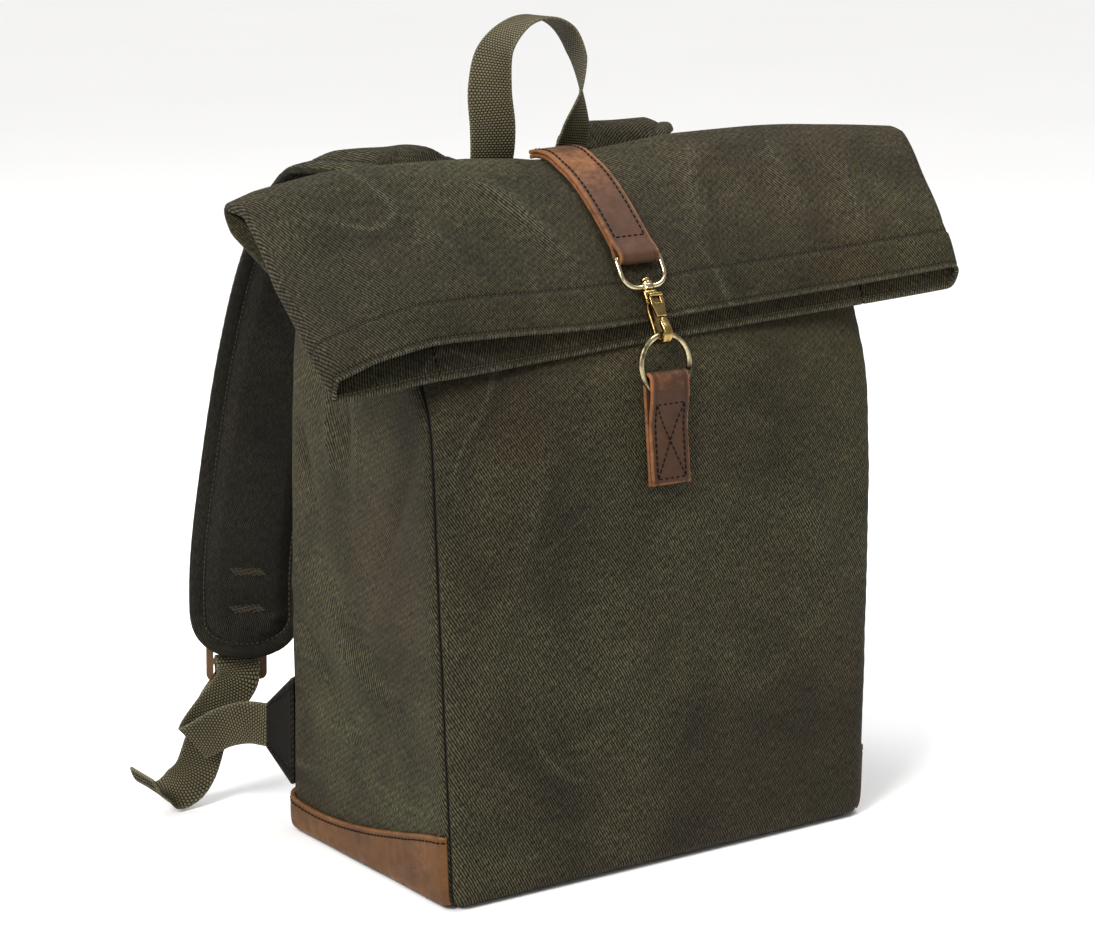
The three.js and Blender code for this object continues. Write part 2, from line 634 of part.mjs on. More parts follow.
// The clasp hangs on the top of the ring
tabFrame.updateMatrixWorld(true);
const ringTop = tabFrame.localToWorld(new THREE.Vector3(0, -foldRadius, RING.up + RING.radius));
const claspFrame = new THREE.Group();
claspFrame.rotation.x = -THREE.MathUtils.degToRad(CLASP_SLOPE);
const claspDown = new THREE.Vector3(0, 0, -1).applyEuler(claspFrame.rotation);
claspFrame.position.copy(ringTop).addScaledVector(claspDown, -HOOK.ringAt);
group.add(claspFrame);

// A place in the clasp's frame: across, out from its line and down it
const onClasp = (x, out, down) => new THREE.Vector3(x, -out, -down);

const claspX = new THREE.Vector3(1, 0, 0);
const hookCurve = new THREE.CatmullRomCurve3(
  HOOK_LINE.map(({ out, down }) => onClasp(0, out, down)), false, "centripetal");
const hookStations = [0, ...steps(0, 1, 20)].map((t) => ({
  at: hookCurve.getPoint(t),
  along: hookCurve.getTangent(t),
  across: claspX,
}));
const hookBar = solidOf(strip(hookStations, () => flatSection(HOOK.width, HOOK.thickness, 0.8)));

const blockSide = new THREE.Shape();
blockSide.moveTo(HOOK_BLOCK.back, -HOOK_BLOCK.top);
blockSide.lineTo(-HOOK_BLOCK.front, -HOOK_BLOCK.top);
blockSide.lineTo(-HOOK_BLOCK.front, -PIN.down);
blockSide.absarc(-PIN.out, -PIN.down, HOOK_BLOCK.front - PIN.out, Math.PI, 1.5 * Math.PI, false);
blockSide.lineTo(HOOK_BLOCK.back, -HOOK_BLOCK.low);
const hookSlot = block(
  onClasp(-HOOK_SLOT.width / 2, HOOK_BLOCK.front + 1, HOOK_BLOCK.low + 1.3),
  onClasp(HOOK_SLOT.width / 2, -HOOK_SLOT.back, HOOK_SLOT.top));
const hookSolid = solidOf(extrudeAcross(blockSide, HOOK_BLOCK.width))
  .add(hookBar)
  .subtract(hookSlot)
  .add(rod(PIN.radius, onClasp(-HOOK_BLOCK.width / 2 + 1, PIN.out, PIN.down),
    onClasp(HOOK_BLOCK.width / 2 - 1, PIN.out, PIN.down), 12))
  .add(rod(POST.radius, onClasp(0, 0, HOOK_BLOCK.top + 0.5), onClasp(0, 0, -POST.top + 0.5), 14))
  .add(rod(POST.head, onClasp(0, 0, -POST.under), onClasp(0, 0, -POST.top), 14));
addPiece("snap_hook", geometryOf(hookSolid), BRASS_LOOK, claspFrame);

const gateShape = new THREE.Shape(GATE_OUTLINE.map(([x, down]) => new THREE.Vector2(x, -down)));
const gatePlate = new THREE.ExtrudeGeometry(gateShape, { depth: GATE.thickness, bevelEnabled: false });
gatePlate.applyMatrix4(new THREE.Matrix4().makeBasis(
  new THREE.Vector3(1, 0, 0), new THREE.Vector3(0, 0, 1), new THREE.Vector3(0, -1, 0)));
gatePlate.translate(0, -GATE.back, 0);
const half = GATE.knuckleWidth / 2;
const gateSolid = solidOf(gatePlate)
  .add(block(onClasp(-half, GATE.back + 0.5, PIN.down + 1.2), onClasp(half, PIN.out, PIN.down - 1.2)))
  .add(rod(GATE.knuckle, onClasp(-half, PIN.out, PIN.down), onClasp(half, PIN.out, PIN.down)))
  .add(block(onClasp(-3, GATE.back + GATE.thickness + 1.2, 7.8), onClasp(3, GATE.back + 1, 6.4)))
  .subtract(rod(PIN.clear, onClasp(-half - 1, PIN.out, PIN.down), onClasp(half + 1, PIN.out, PIN.down), 12));
addPiece("hook_gate", geometryOf(gateSolid), BRASS_LOOK, claspFrame);

// Closing strap, lying on the flap, with its eye round the swivel loop's upper bar
const strapRow = (t) => THREE.MathUtils.lerp(STRAP.from, STRAP.eye, t);
function strapPoint(t) {
  const lift = CANVAS / 2 + GAP + STRAP.thickness / 2 + STRAP.rise * THREE.MathUtils.smoothstep(t, 0.7, 1);
  return skinPoint(8, strapRow(t), lift).add(new THREE.Vector3(STRAP.drift * t, 0, 0));
}
const strapStations = [0, ...steps(0, 1, 18)].map((t) => {
  const along = strapPoint(Math.min(t + 0.01, 1)).sub(strapPoint(Math.max(t - 0.01, 0))).normalize();
  return { at: strapPoint(t), along, across: backWay(0, strapRow(t)) };
});
const eye = strapPoint(1);
const eyeAcross = backWay(0, STRAP.eye);
const eyeSide = eyeAcross.clone().multiplyScalar(STRAP.width / 2);
const strapSolid = solidOf(strip(strapStations, () => flatSection(STRAP.width, STRAP.thickness, 0.8)))
  .add(rod(LOOP.wire + GAP + LEATHER, eye.clone().sub(eyeSide), eye.clone().add(eyeSide), 18))
  .subtract(rod(LOOP.wire + GAP, eye.clone().addScaledVector(eyeSide, -2),
    eye.clone().addScaledVector(eyeSide, 2), 12));
addPiece("closing_strap", geometryOf(strapSolid), LEATHER_LOOK);

// Swivel loop from the strap's eye to the clasp's boss
claspFrame.updateMatrixWorld(true);
const loopFoot = claspFrame.position;
const loopHead = eye.clone().addScaledVector(eyeAcross, loopFoot.x - eye.x);
const loopDown = loopFoot.clone().sub(loopHead);
const loopLength = loopDown.length();
loopDown.normalize();
const loopOutline = new THREE.Path();
const loopHalf = LOOP.width / 2 - LOOP.wire;
const low = LOOP.corner;
const top = LOOP.topCorner;
loopOutline.absarc(loopHalf - low, loopLength - low, low, 0, Math.PI / 2, false);
loopOutline.absarc(-loopHalf + low, loopLength - low, low, Math.PI / 2, Math.PI, false);
loopOutline.absarc(-loopHalf + top, top, top, Math.PI, 1.5 * Math.PI, false);
loopOutline.absarc(loopHalf - top, top, top, 1.5 * Math.PI, 2 * Math.PI, false);
loopOutline.closePath();
const loopPoints = loopOutline.getPoints(3).slice(0, -1)
  .map((point) => loopHead.clone().addScaledVector(eyeAcross, point.x).addScaledVector(loopDown, point.y));
const loopNormal = eyeAcross.clone().cross(loopDown).normalize();
const loopRings = loopPoints.map((point, i) => {
  const next = loopPoints[(i + 1) % loopPoints.length];
  const last = loopPoints[(i + loopPoints.length - 1) % loopPoints.length];
  const side = next.clone().sub(last).normalize().cross(loopNormal);
  return Array.from({ length: 8 }, (unused, k) => {
    const turn = (k / 8) * 2 * Math.PI;
    return point.clone().addScaledVector(side, LOOP.wire * Math.cos(turn))
      .addScaledVector(loopNormal, LOOP.wire * Math.sin(turn));
  });
});
const bossTop = loopFoot.clone().addScaledVector(claspDown, -BOSS.high);
const bossLow = loopFoot.clone().addScaledVector(claspDown, BOSS.low);
const loopSolid = solidOf(loft(loopRings, true))
  .add(rod(BOSS.radius, bossTop, bossLow))
  .subtract(rod(BOSS.bore, bossTop.clone().addScaledVector(claspDown, -2),
    bossLow.clone().addScaledVector(claspDown, 2), 14));
addPiece("swivel_loop", geometryOf(loopSolid), BRASS_LOOK);

// Shoulder pads
function padLine(side) {
  const points = PAD_LINE.map((row) => {
    const spread = side > 0 ? row.spread : 0;
    return new THREE.Vector3(side * (spread - row.x), row.y, row.z);
  });
  const ways = PAD_LINE.map((row) => headingOf(-side * row.heading));
  for (const v of [PAD.seatHigh, PAD.seatLow]) {
    points.unshift(backSeat(side * PAD.seatX, v, PAD.thickness + 2 * GAP));
    ways.unshift(backWay(side * PAD.seatX, v));
  }
  const last = PAD_STEPS.length;
  const along = spans(0, PAD_STEPS).map((row) => row / last).filter((t) => t < PAD.round - 0.01);
  const end = PAD_END.map((past) => THREE.MathUtils.lerp(PAD.round, 1, past));
  return stationLine(points, ways, [...along, ...end]);
}

function padSection({ t }) {
  const past = THREE.MathUtils.clamp((t - PAD.round) / (1 - PAD.round), 0, 0.985);
  const wide = (PAD.width / 2) * (1 - past ** 2.5) ** 0.45;
  const thin = THREE.MathUtils.lerp(1, 0.75, past);
  const over = PAD_SECTION.map(([across, rise]) => [across * wide, rise * thin]);
  const under = PAD_SECTION.map(([across, rise]) => [across * wide, -rise * thin]);
  return [...over, ...under.reverse()];
}

const leftPad = padLine(-1);
addPiece("left_shoulder_pad", strip(leftPad, padSection), CANVAS_LOOK);
addPiece("right_shoulder_pad", strip(padLine(1), padSection), CANVAS_LOOK);

// Frame at the left pad's end: across the pad, away from the bag, and up
const padEnd = leftPad[leftPad.length - 1];
const endUp = padEnd.along.clone().negate();
const endAcross = padEnd.across.clone().addScaledVector(endUp, -padEnd.across.dot(endUp)).normalize();
const endBack = endUp.clone().cross(endAcross);
const endFrame = new THREE.Matrix4().makeBasis(endAcross, endBack, endUp).setPosition(padEnd.at);
const atEnd = (x, back, up) => new THREE.Vector3(x, back, up).applyMatrix4(endFrame);

function addPair(name, geometry, look) {
  addPiece(`left_${name}`, geometry, look);
  addPiece(`right_${name}`, mirror(geometry), look);
}

// Slide buckle
function rectangle(Outline, width, low, high, round) {
  const outline = new Outline();
  const side = width / 2 - round;
  outline.absarc(side, low + round, round, -Math.PI / 2, 0, false);
  outline.absarc(side, high - round, round, 0, Math.PI / 2, false);
  outline.absarc(-side, high - round, round, Math.PI / 2, Math.PI, false);
  outline.absarc(-side, low + round, round, Math.PI, 1.5 * Math.PI, false);
  outline.closePath();
  return outline;
}
const barHalf = BUCKLE.bar / 2;
const buckleShape = rectangle(THREE.Shape, BUCKLE.width, -BUCKLE.pitch - barHalf, BUCKLE.pitch + barHalf, 4);
buckleShape.holes.push(rectangle(THREE.Path, BUCKLE.opening, barHalf, BUCKLE.pitch - barHalf, 1));
buckleShape.holes.push(rectangle(THREE.Path, BUCKLE.opening, -BUCKLE.pitch + barHalf, -barHalf, 1));
const buckleDepth = { depth: BUCKLE.bar, bevelEnabled: false, curveSegments: 2 };
const buckle = new THREE.ExtrudeGeometry(buckleShape, buckleDepth);
buckle.rotateX(Math.PI / 2);
buckle.translate(BUCKLE.aside, BUCKLE.behind + barHalf, BUCKLE.middle);
addPair("slide_buckle", buckle.applyMatrix4(endFrame), COPPER_LOOK);

// A line of webbing round a bar of the buckle, from its near side over or under the bar to the far
// side
function roundBar(height, over) {
  return [0, 0.25, 0.5, 0.75, 1].map((share) => {
    const turn = share * Math.PI;
    const rise = over * BUCKLE.turn * Math.sin(turn);
    return atEnd(BUCKLE.aside, BUCKLE.behind - BUCKLE.turn * Math.cos(turn), height + rise);
  });
}

const onPad = PAD.thickness / 2 + GAP + WEBBING.thickness / 2;
const loopLine = [
  atEnd(BUCKLE.aside, onPad, 46),
  atEnd(BUCKLE.aside, onPad, 26),
  ...roundBar(BUCKLE.middle + BUCKLE.pitch, -1),
  atEnd(BUCKLE.aside, onPad + 3.6, 20),
  atEnd(BUCKLE.aside, onPad + 2.2, 32),
  atEnd(BUCKLE.aside, onPad + 2.2, 44),
];
const loopStations = stationLine(loopLine, loopLine.map(() => endAcross), [0, ...steps(0, 1, 18)]);
addPair("buckle_loop", strip(loopStations, webbingSection), WEBBING_LOOK);

// Adjusting webbing
const lowEdge = (row) => new THREE.Vector3(row.lowX, row.lowY, row.lowZ);
const highEdge = (row) => new THREE.Vector3(row.highX, row.highY, row.highZ);
const edgeMiddle = (row) => lowEdge(row).lerp(highEdge(row), 0.5);
const edgeWay = (row) => lowEdge(row).sub(highEdge(row)).normalize();
const barLine = roundBar(BUCKLE.middle, 1);
const besideBar = BUCKLE.turn + 0.2;
barLine.unshift(atEnd(BUCKLE.aside, BUCKLE.behind - besideBar, BUCKLE.middle - BUCKLE.pitch));
barLine.push(atEnd(BUCKLE.aside, BUCKLE.behind + besideBar, BUCKLE.middle - BUCKLE.pitch));
const webbingLine = [...WEBBING_RISE.map(edgeMiddle), ...barLine, ...WEBBING_TAIL.map(edgeMiddle)];
const barWays = barLine.map(() => endAcross);
const webbingWays = [...WEBBING_RISE.map(edgeWay), ...barWays, ...WEBBING_TAIL.map(edgeWay)];
const webbingStations = stationLine(webbingLine, webbingWays, [0, ...steps(0, 1, 76)]);
addPair("strap_webbing", strip(webbingStations, webbingSection), WEBBING_LOOK);

// Wing tabs
const start = webbingStations[0];
const wingTip = start.at.clone().addScaledVector(start.along, -2 * GAP);
const tipWay = start.across.clone().addScaledVector(start.along, -start.across.dot(start.along)).normalize();
const tipNormal = start.along.clone().cross(tipWay);

function wing(side) {
  const lift = CANVAS / 2 + GAP + WING.thickness / 2;
  const mirrorX = new THREE.Vector3(-side, 1, 1);
  const grid = [0, 0.25, 0.5, 0.75, 1].map((up) => {
    const height = THREE.MathUtils.lerp(WING.low, WING.high, up);
    const root = skinPoint(side * WING.place, rowAtHeight(side * WING.place, height), lift);
    const tip = wingTip.clone().addScaledVector(tipWay, (0.5 - up) * WEBBING.width).multiply(mirrorX);
    return [0, 0.33, 0.67, 1].map((share) => root.clone().lerp(tip, share));
  });
  const normals = grid.map((row, i) => row.map((unused, k) => {
    const across = row[Math.min(k + 1, 3)].clone().sub(row[Math.max(k - 1, 0)]);
    const up = grid[Math.min(i + 1, 4)][k].clone().sub(grid[Math.max(i - 1, 0)][k]);
    return k === 3 ? tipNormal.clone().multiply(mirrorX) : across.cross(up).normalize();
  }));
  return sheet(grid, normals, WING.thickness);
}

addPiece("left_wing_tab", wing(-1), CANVAS_LOOK);
addPiece("right_wing_tab", wing(1), CANVAS_LOOK);

export default group;
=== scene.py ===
"""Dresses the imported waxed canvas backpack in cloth, leather, webbing and metal, over the fixed frame.

Sizes are in millimetres in the tables and in metres in the meshes. +Z is up and the front faces -Y.
"""
import math

import bpy
import numpy as np
from bpy.props import FloatProperty, FloatVectorProperty, PointerProperty
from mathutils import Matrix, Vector


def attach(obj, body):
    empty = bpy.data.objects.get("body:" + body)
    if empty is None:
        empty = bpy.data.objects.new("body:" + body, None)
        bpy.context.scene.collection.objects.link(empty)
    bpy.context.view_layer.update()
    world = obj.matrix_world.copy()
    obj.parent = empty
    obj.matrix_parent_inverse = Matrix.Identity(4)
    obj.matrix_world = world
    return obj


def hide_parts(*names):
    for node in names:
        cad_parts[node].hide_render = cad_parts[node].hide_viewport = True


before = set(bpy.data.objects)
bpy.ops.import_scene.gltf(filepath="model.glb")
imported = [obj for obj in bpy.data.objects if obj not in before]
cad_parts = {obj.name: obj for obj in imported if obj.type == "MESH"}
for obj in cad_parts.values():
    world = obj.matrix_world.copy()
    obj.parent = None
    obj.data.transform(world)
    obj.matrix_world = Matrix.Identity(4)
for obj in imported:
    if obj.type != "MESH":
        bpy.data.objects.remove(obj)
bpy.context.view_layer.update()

bl_info = {
    "name": "Waxed Canvas Backpack",
    "version": (1, 0, 0),
    "blender": (4, 5, 0),
    "location": "View3D > Sidebar > Backpack",
    "description": "Builds the visible cloth, leather, webbing and metal of a roll-top canvas backpack",
    "category": "Object",
}

MM = 0.001
GAP = 0.3
CANVAS = 1.6
LEATHER = 2.4
WEBBING_WIDTH = 26
WEBBING_THICKNESS = 1.8
WEBBING_BOX = {"end": 2.0, "long": 12, "half": 10}
SIDE_FOLD = 2.4
SEAM = 1.6
SEAM_GAP = 0.03

# The tube's places: rows to the mouth and to the top of the body, the row at half height, the first row
# without dents, the place round the section that is the middle of the back, and the step for its normals
LAST_ROW = 16
BODY_ROWS = 8
MIDDLE_ROW = 5
DENT_ROWS = 9
BACK_MIDDLE = 8
NEAR = 0.02

# The canvas tube by section from the base to the mouth: Y and Z of the middle of the front and of the
# back, half the front's width, half the width at the side, swell of front and back, corner rounding
TUBE = np.array([
    (-80.5, 1.2, 81, 1.2, 137, 137, 0, 8),
    (-85.5, 3.4, 86, 3.4, 142.5, 142.5, 0, 9),
    (-87.5, 10, 87.5, 10, 145, 145, 1, 10),
    (-88.2, 30, 88, 30, 146, 146, 2, 11),
    (-89, 70, 88, 70, 147.5, 148, 4, 12),
    (-90, 145, 89, 145, 150, 150, 7, 14),
    (-88, 215, 87, 225, 152, 152, 8, 15),
    (-82.5, 268, 82, 292, 152, 156, 8, 16),
    (-65, 303, 70, 336, 148, 172, 6, 18),
    (-42, 333, 54, 367, 144, 191, 4, 20),
    (-16, 359, 36, 386.5, 140, 206, 2, 20),
    (7, 378, 17, 392, 140, 213, 0, 20),
    (-1.5, 379, 0, 387, 140, 213, 0, 20),
    (-18, 370.5, -16.5, 377.5, 140, 212, 0, 20),
    (-33, 357.5, -33.5, 363, 140, 211, 0, 20),
    (-56.5, 330, -60.5, 335, 140, 210, 0, 20),
    (-71.5, 297, -73, 309, 140, 209, 0, 20),
])

# How the fold lies askew: row of the tube, shift in Y and in Z for each mm to the right, shift in X, Y
# and Z at the ends, half height of the right end
DRAPE = np.array([
    (0, 0, 0, 0, 0, 0, SIDE_FOLD),
    (5, 0, 0, 3, 0, 0, SIDE_FOLD),
    (7, 0, 0, 4.5, 0, 0, SIDE_FOLD),
    (11, -0.085, 0.055, 6, 0, -5, SIDE_FOLD),
    (14, -0.04, 0.05, 6, -3, -2, 3.5),
    (16, 0, 0.05, 5, -8, 2, 6.5),
])

# How the folded top settles off the plain form, by row: shift in X and Z at the left end, shift in X at
# the right end, share of the lift of the ridge
SETTLE = np.array([
    (8, 0, 0, 0, 0),
    (9, -9, -2, 0, 0),
    (10, -9, -2, 1, 0.5),
    (11, -2, 0, 3.5, 1),
    (12, -1, 0, 7, 1),
    (13, -5, -3, 3.5, 0.5),
    (14, -8, -7, 0.5, 0),
    (15, -9, -9, -4, 0),
    (16, -5, -5, 0, 0),
])

# Lift of the ridge by X, and of the left part of the upper hem by place round the section
RIDGE_LIFT = np.array([
    (-206, 6), (-190, 8), (-150, 8), (-110, 6), (-60, 3), (-25, -1), (0, -3), (25, -1), (70, 3), (206, 1),
])
HEM_LIFT = np.array([
    (4, 0), (4.5, 2), (5, 6), (5.5, 9.5), (6.25, 8.5), (7, 6.5), (7.25, 4.5), (7.5, 2), (7.75, 0),
])

# Ranges over which a share goes from 0 to 1. Places round the section: the faces and the flap's upper side.
# Rows: the body's end, the flap, the hem, the sewn ends on the back and the strap. Millimetres: the ends of
# the fold, above the leather, and away from the tab, the strap and the hook, whose cloth gives way
FADE = {
    "front_edge": (1.2, 1.7), "back_edge": (6.3, 6.8), "side_front": (1.3, 1.8), "side_back": (6.2, 6.7),
    "upper_side": (4.6, 6.2), "tab_round": (1.3, 1.6), "ridge_round": (5, 6.5),
    "body_end": (8.2, 9.4), "flap_start": (11.3, 12.5), "hem_rows": (13, 16), "sewn_back": (6.9, 7.4),
    "strap_start": (9.0, 10.2), "strap_end": (12.6, 13.8),
    "left_end": (140, 204), "right_end": (120, 204), "above_leather": (44, 84), "tab_height": (208, 222),
    "beside_tab": (15, 26), "beside_strap": (15, 27), "under_strap": (14, 30), "under_hook": (8, 22),
    "hook_reach": (34, 60),
}

# Heights of the cloth's relief and the sizes of its bumps
RELIEF = {
    "crease": 3.0, "crease_sharp": 1.2, "swell": 0.95, "swell_size": 62, "fine": 0.42, "fine_size": 24,
    "lump": 0.9, "lump_size": 55, "small_lump": 0.35, "small_size": 20, "ripple": 0.14, "seam": 0.9,
}

# Soft dents of the body: face, middle across and up, slope from level, half length, half width, depth
DENTS = [
    ("left", 22, 150, 36, 62, 13, -3.5),
    ("left", 0, 118, 42, 45, 13, 2.5),
    ("left", 28, 278, 80, 36, 16, -6),
    ("left", -18, 282, 96, 34, 13, 3.5),
    ("right", 18, 160, 40, 60, 15, -3.5),
    ("right", 10, 278, 84, 36, 18, -5),
    ("front", -62, 170, 62, 80, 32, -2.5),
    ("front", 70, 120, -58, 80, 36, -2.5),
    ("back", 0, 190, 90, 110, 50, -4),
]

# Finer creases in the same columns, which only the cloth shows
CREASES = [
    ("left", 30, 129, 27, 50, 5, 1.3),
    ("left", 44, 136, 29, 24, 4, -1.0),
    ("left", 52, 118, 38, 30, 6, -1.1),
    ("left", 30, 246, 78, 26, 5, 1.4),
    ("left", 14, 250, 84, 24, 5, -1.3),
    ("left", -4, 252, 97, 30, 5, 1.1),
    ("left", 58, 232, 70, 34, 6, -1.2),
    ("left", -40, 210, 118, 42, 7, -1.0),
    ("left", 10, 72, 14, 44, 6, 0.9),
    ("right", 24, 138, 30, 46, 6, 1.3),
    ("right", -10, 120, 44, 40, 6, -1.1),
    ("right", 18, 250, 80, 28, 6, 1.3),
    ("right", -14, 246, 98, 30, 6, -1.2),
    ("right", 40, 214, 66, 38, 7, -1.0),
    ("front", -96, 196, 70, 60, 9, 0.9),
    ("front", -20, 128, 38, 70, 12, 0.8),
    ("front", 34, 176, 52, 62, 10, -0.8),
    ("front", 104, 186, 112, 64, 10, 0.9),
    ("front", 84, 66, 150, 54, 9, -0.8),
    ("front", -70, 84, 24, 56, 9, -0.8),
    ("back", -70, 120, 60, 60, 10, -1.2),
    ("back", 64, 140, 124, 66, 10, -1.2),
    ("back", 10, 90, 8, 70, 10, -1.0),
]

# Crests on the top of the flap: place in X and Y, heading, half length, half width, height
FLAP_CRESTS = [
    (-58, -24, -58, 34, 7, 3.6),
    (-118, -30, -70, 30, 9, 2.4),
    (58, -30, -118, 36, 8, 2.6),
    (122, -28, -100, 34, 10, 2.4),
    (-164, -34, -80, 30, 10, 1.8),
    (160, -44, -96, 30, 9, 2.0),
    (92, -6, -160, 44, 7, 1.6),
    (-92, -2, -20, 40, 7, 1.6),
]

# Top edge of the leather on the lower sides by place round the section
LEATHER_TOP = np.array([(1.68, 42), (2, 41), (3, 34), (4, 24), (5, 19), (6, 20), (7, 25)])

# Leather patches from the front seam round to the back, the row they start from and their stitch line
PATCH = {"front": 1.68, "back": 7, "row": 1.25, "stitch": 2.8}

LEATHER_STITCH = 2.7
STRAP = {
    "width": 24.6, "from": 10.35, "eye": 14.83, "drift": -4, "lift": 2.5, "rise": 1.3, "layer": 1.3,
    "fold": 3.0, "flare": 10, "sewn": 12,
}
TAB = {"half": 31, "width": 25, "thickness": 5.3, "slot_low": 15.5, "slot": 2.05, "lean": 6}
TAB_BOX = {"side": 3.0, "low": 2.9, "high": 13.0}
TAB_AT = np.array([-4, -86.026, 252])
CLASP_AT = np.array([-4, -69.932, 327.326])
CLASP_SLOPE = 32
LOOP = {"width": 31.4, "top_corner": 2.1, "corner": 9.0, "wire": 1.5}
BOSS = {"radius": 3.3, "bore": 1.72, "high": 2.6, "low": 2.3}
RING = {"radius": 16.3, "wire": 1.7, "up": 34.5}
HOOK_LINE = np.array([
    (-1.6, 7.5), (-3.4, 12), (-3.9, 18), (-4.2, 24), (-4.4, 28), (-3.1, 31.1), (0, 32.4), (3.1, 31.1),
    (4.4, 28), (4.1, 24), (3.9, 20.8),
])
PIN = {"out": 0.6, "down": 8.6}

# The hook's turned post as rows of down and radius, the ends of the gate's pin as rows of across and radius
HOOK_POST = [(3.2, 1.6), (-2.95, 1.6), (-3.0, 2.3), (-3.3, 2.7), (-4.2, 2.7), (-4.8, 2.2), (-5.0, 1.2)]
PIN_END = np.array([(2.4, 1.4), (4.1, 1.4), (4.75, 1.3), (4.85, 0.9)])

# Cast blocks of the hook and the gate as rows of down, half width, lowest and highest out
HOOK_BLOCK = [
    (2.7, 4.1, -2.0, 1.6), (3.1, 4.5, -2.4, 2.0), (4, 4.7, -2.5, 2.2), (6, 4.7, -2.5, 2.2),
    (8.4, 4.7, -2.5, 2.2), (9.4, 4.6, -2.5, 1.9), (10, 4.3, -2.4, 1.2), (10.3, 3.6, -2.2, 0.4),
]
HOOK_SLOT = [(6.4, 2.55, -1.75, 4.2), (11.6, 2.55, -1.75, 4.2)]
GATE_LOWER = [
    (11.4, 4.35, 2.6, 4.5), (11.8, 4.55, 2.55, 4.85), (14, 4.1, 2.55, 4.85), (17, 3.62, 2.55, 4.75),
    (19, 3.3, 2.55, 4.6), (19.5, 3.1, 2.6, 4.3), (19.7, 2.6, 2.8, 4.0),
]
GATE_FLOOR = [(5.7, 4.3, 2.6, 3.4), (6, 4.6, 2.55, 3.5), (12.5, 4.6, 2.55, 3.5)]
GATE_THUMB = [
    (5.6, 3.9, 2.8, 4.6), (5.9, 4.4, 2.6, 5.6), (6.5, 4.5, 2.6, 5.95), (7.4, 4.4, 2.6, 5.9),
    (7.9, 4.0, 2.6, 5.2),
]
GATE_CHEEK = [(6.5, 1.0, 2.6, 4.7), (7, 1.1, 2.6, 4.85), (12.4, 1.1, 2.6, 4.85), (12.8, 1.0, 2.6, 4.7)]
GATE_KNUCKLE = [
    (7.0, 2.1, 0.6, 3.0), (7.3, 2.2, -0.6, 3.2), (8.6, 2.2, -1.2, 3.2), (9.9, 2.2, -0.6, 3.2),
    (10.3, 2.1, 0.6, 3.0),
]
CHEEK_ASIDE = 3.4

# Handle between its sewn ends: X, Y, Z and the heading of its width; and how far its ends are from the middle
HANDLE_ASIDE = 27.0
HANDLE = np.array([
    (-26.5, 49, 386, -14), (-27.5, 46, 405, -30), (-30, 45, 428, -50), (-26, 45, 450, -72),
    (-11, 45, 464, -86), (5, 45, 467, -90), (20, 45, 461, -92), (30, 45, 445, -100), (33, 45, 424, -125),
    (31, 46, 404, -160), (28, 49, 386, -176),
])

# Left shoulder pad: X, Y, Z, heading of its width, and how much further out the right one stands
PAD_LINE = np.array([
    (-61.5, 73, 352, 0, 0), (-62.5, 68, 372, 0, 2), (-69.5, 78, 389, -2, 8), (-85.5, 98, 385, -5, 16),
    (-100.5, 115.5, 362, -8, 12), (-110.5, 129.5, 322, -11, 5), (-119.5, 139.5, 268, -15, 0),
    (-129.5, 143.5, 205, -18, 0), (-139.5, 141.5, 145, -20, 0), (-142.5, 137.5, 91, -20, 0),
])
PAD = {
    "width": 68, "thickness": 11, "seat": 62, "round": 0.945, "border": 8.6, "flange": 2.35, "crown": 3.15,
    "end": 26, "box": (10, 28, 22), "bars": (143, 121), "bar_wide": 17, "bar_long": 4.2, "bar_deep": 1.9,
    "bar_deep_under": 1.5,
}

BUCKLE = {"pitch": 10.5, "aside": -5, "behind": 9.8, "middle": -3, "turn": 3}

# Adjusting webbing of the left side by its lower and upper edges, wing to buckle and buckle to free end
WEBBING_RISE = np.array([
    (-149, 112, 44, -143, 107, 70.5), (-154, 121, 43.5, -152, 118.5, 71), (-160, 130, 40, -166, 130, 67),
    (-167, 136, 35.5, -185, 139, 56.5), (-169.5, 139.5, 33, -187.5, 142.5, 55),
    (-166, 142.5, 36, -184, 145.5, 57.5), (-146, 142, 56, -172, 150, 66),
])
WEBBING_TAIL = np.array([
    (-143, 149, 57, -168, 156, 62), (-150, 151.5, 37, -175, 157, 43), (-159, 150.5, 14, -182, 160, 26),
    (-168, 149, 7.5, -188, 163, 19), (-181, 148, 6.5, -194, 169, 14.5), (-195, 147, 12, -201, 171, 18),
    (-202, 146, 22, -206, 170, 28),
])
WING = {"place": 6.4, "root": 6.9, "low": 28, "high": 92, "thickness": 2.4, "long": 40, "tall": 50}

MIRROR = np.array([-1, 1, 1])

# The hem: distances of its stitch line and its band's seam from the mouth, extra thickness, how soft the
# band's edge is in thickness and in height, and how far the cloth gives way under the hook and the strap
HEM = {
    "stitch": 3.2, "band": 26.4, "extra": 0.9, "edge": 1.5, "soft": 5, "under_hook": 1.1, "under_strap": 1.2,
}

# Extra rows of the canvas by distance from the mouth, and extra columns by distance from a seam
HEM_ROWS = np.array([0.4, 0.9, 1.7, 2.5, 3.2, 3.9, 4.8, 24.6, 25.7, 26.4, 27.1, 28.2])
SEAM_COLUMNS = np.array([0, 0.5, 1.1, 2.0, 3.4])
SEAM_MARGIN = 5.5

# The base's section as rows of share of its outline and height
BASE_PROFILE = [
    (0.04, 0.25), (0.3, 0.2), (0.6, 0.15), (0.85, 0.08), (0.96, 0.0), (0.994, 0.05), (1.0, 0.5), (1.0, 1.1),
    (0.994, 1.55), (0.96, 1.6), (0.85, 1.6), (0.6, 1.6), (0.3, 1.6), (0.04, 1.6),
]

# How finely lines and round bodies are divided
FINE_STEPS = 3201
RIBBON_STEPS = 1500
WEBBING_STEP = 1.6
WIRE_SIDES = 20
BLOCK_SIDES = 40
TURNED_SIDES = 28
RING_STEPS = 120


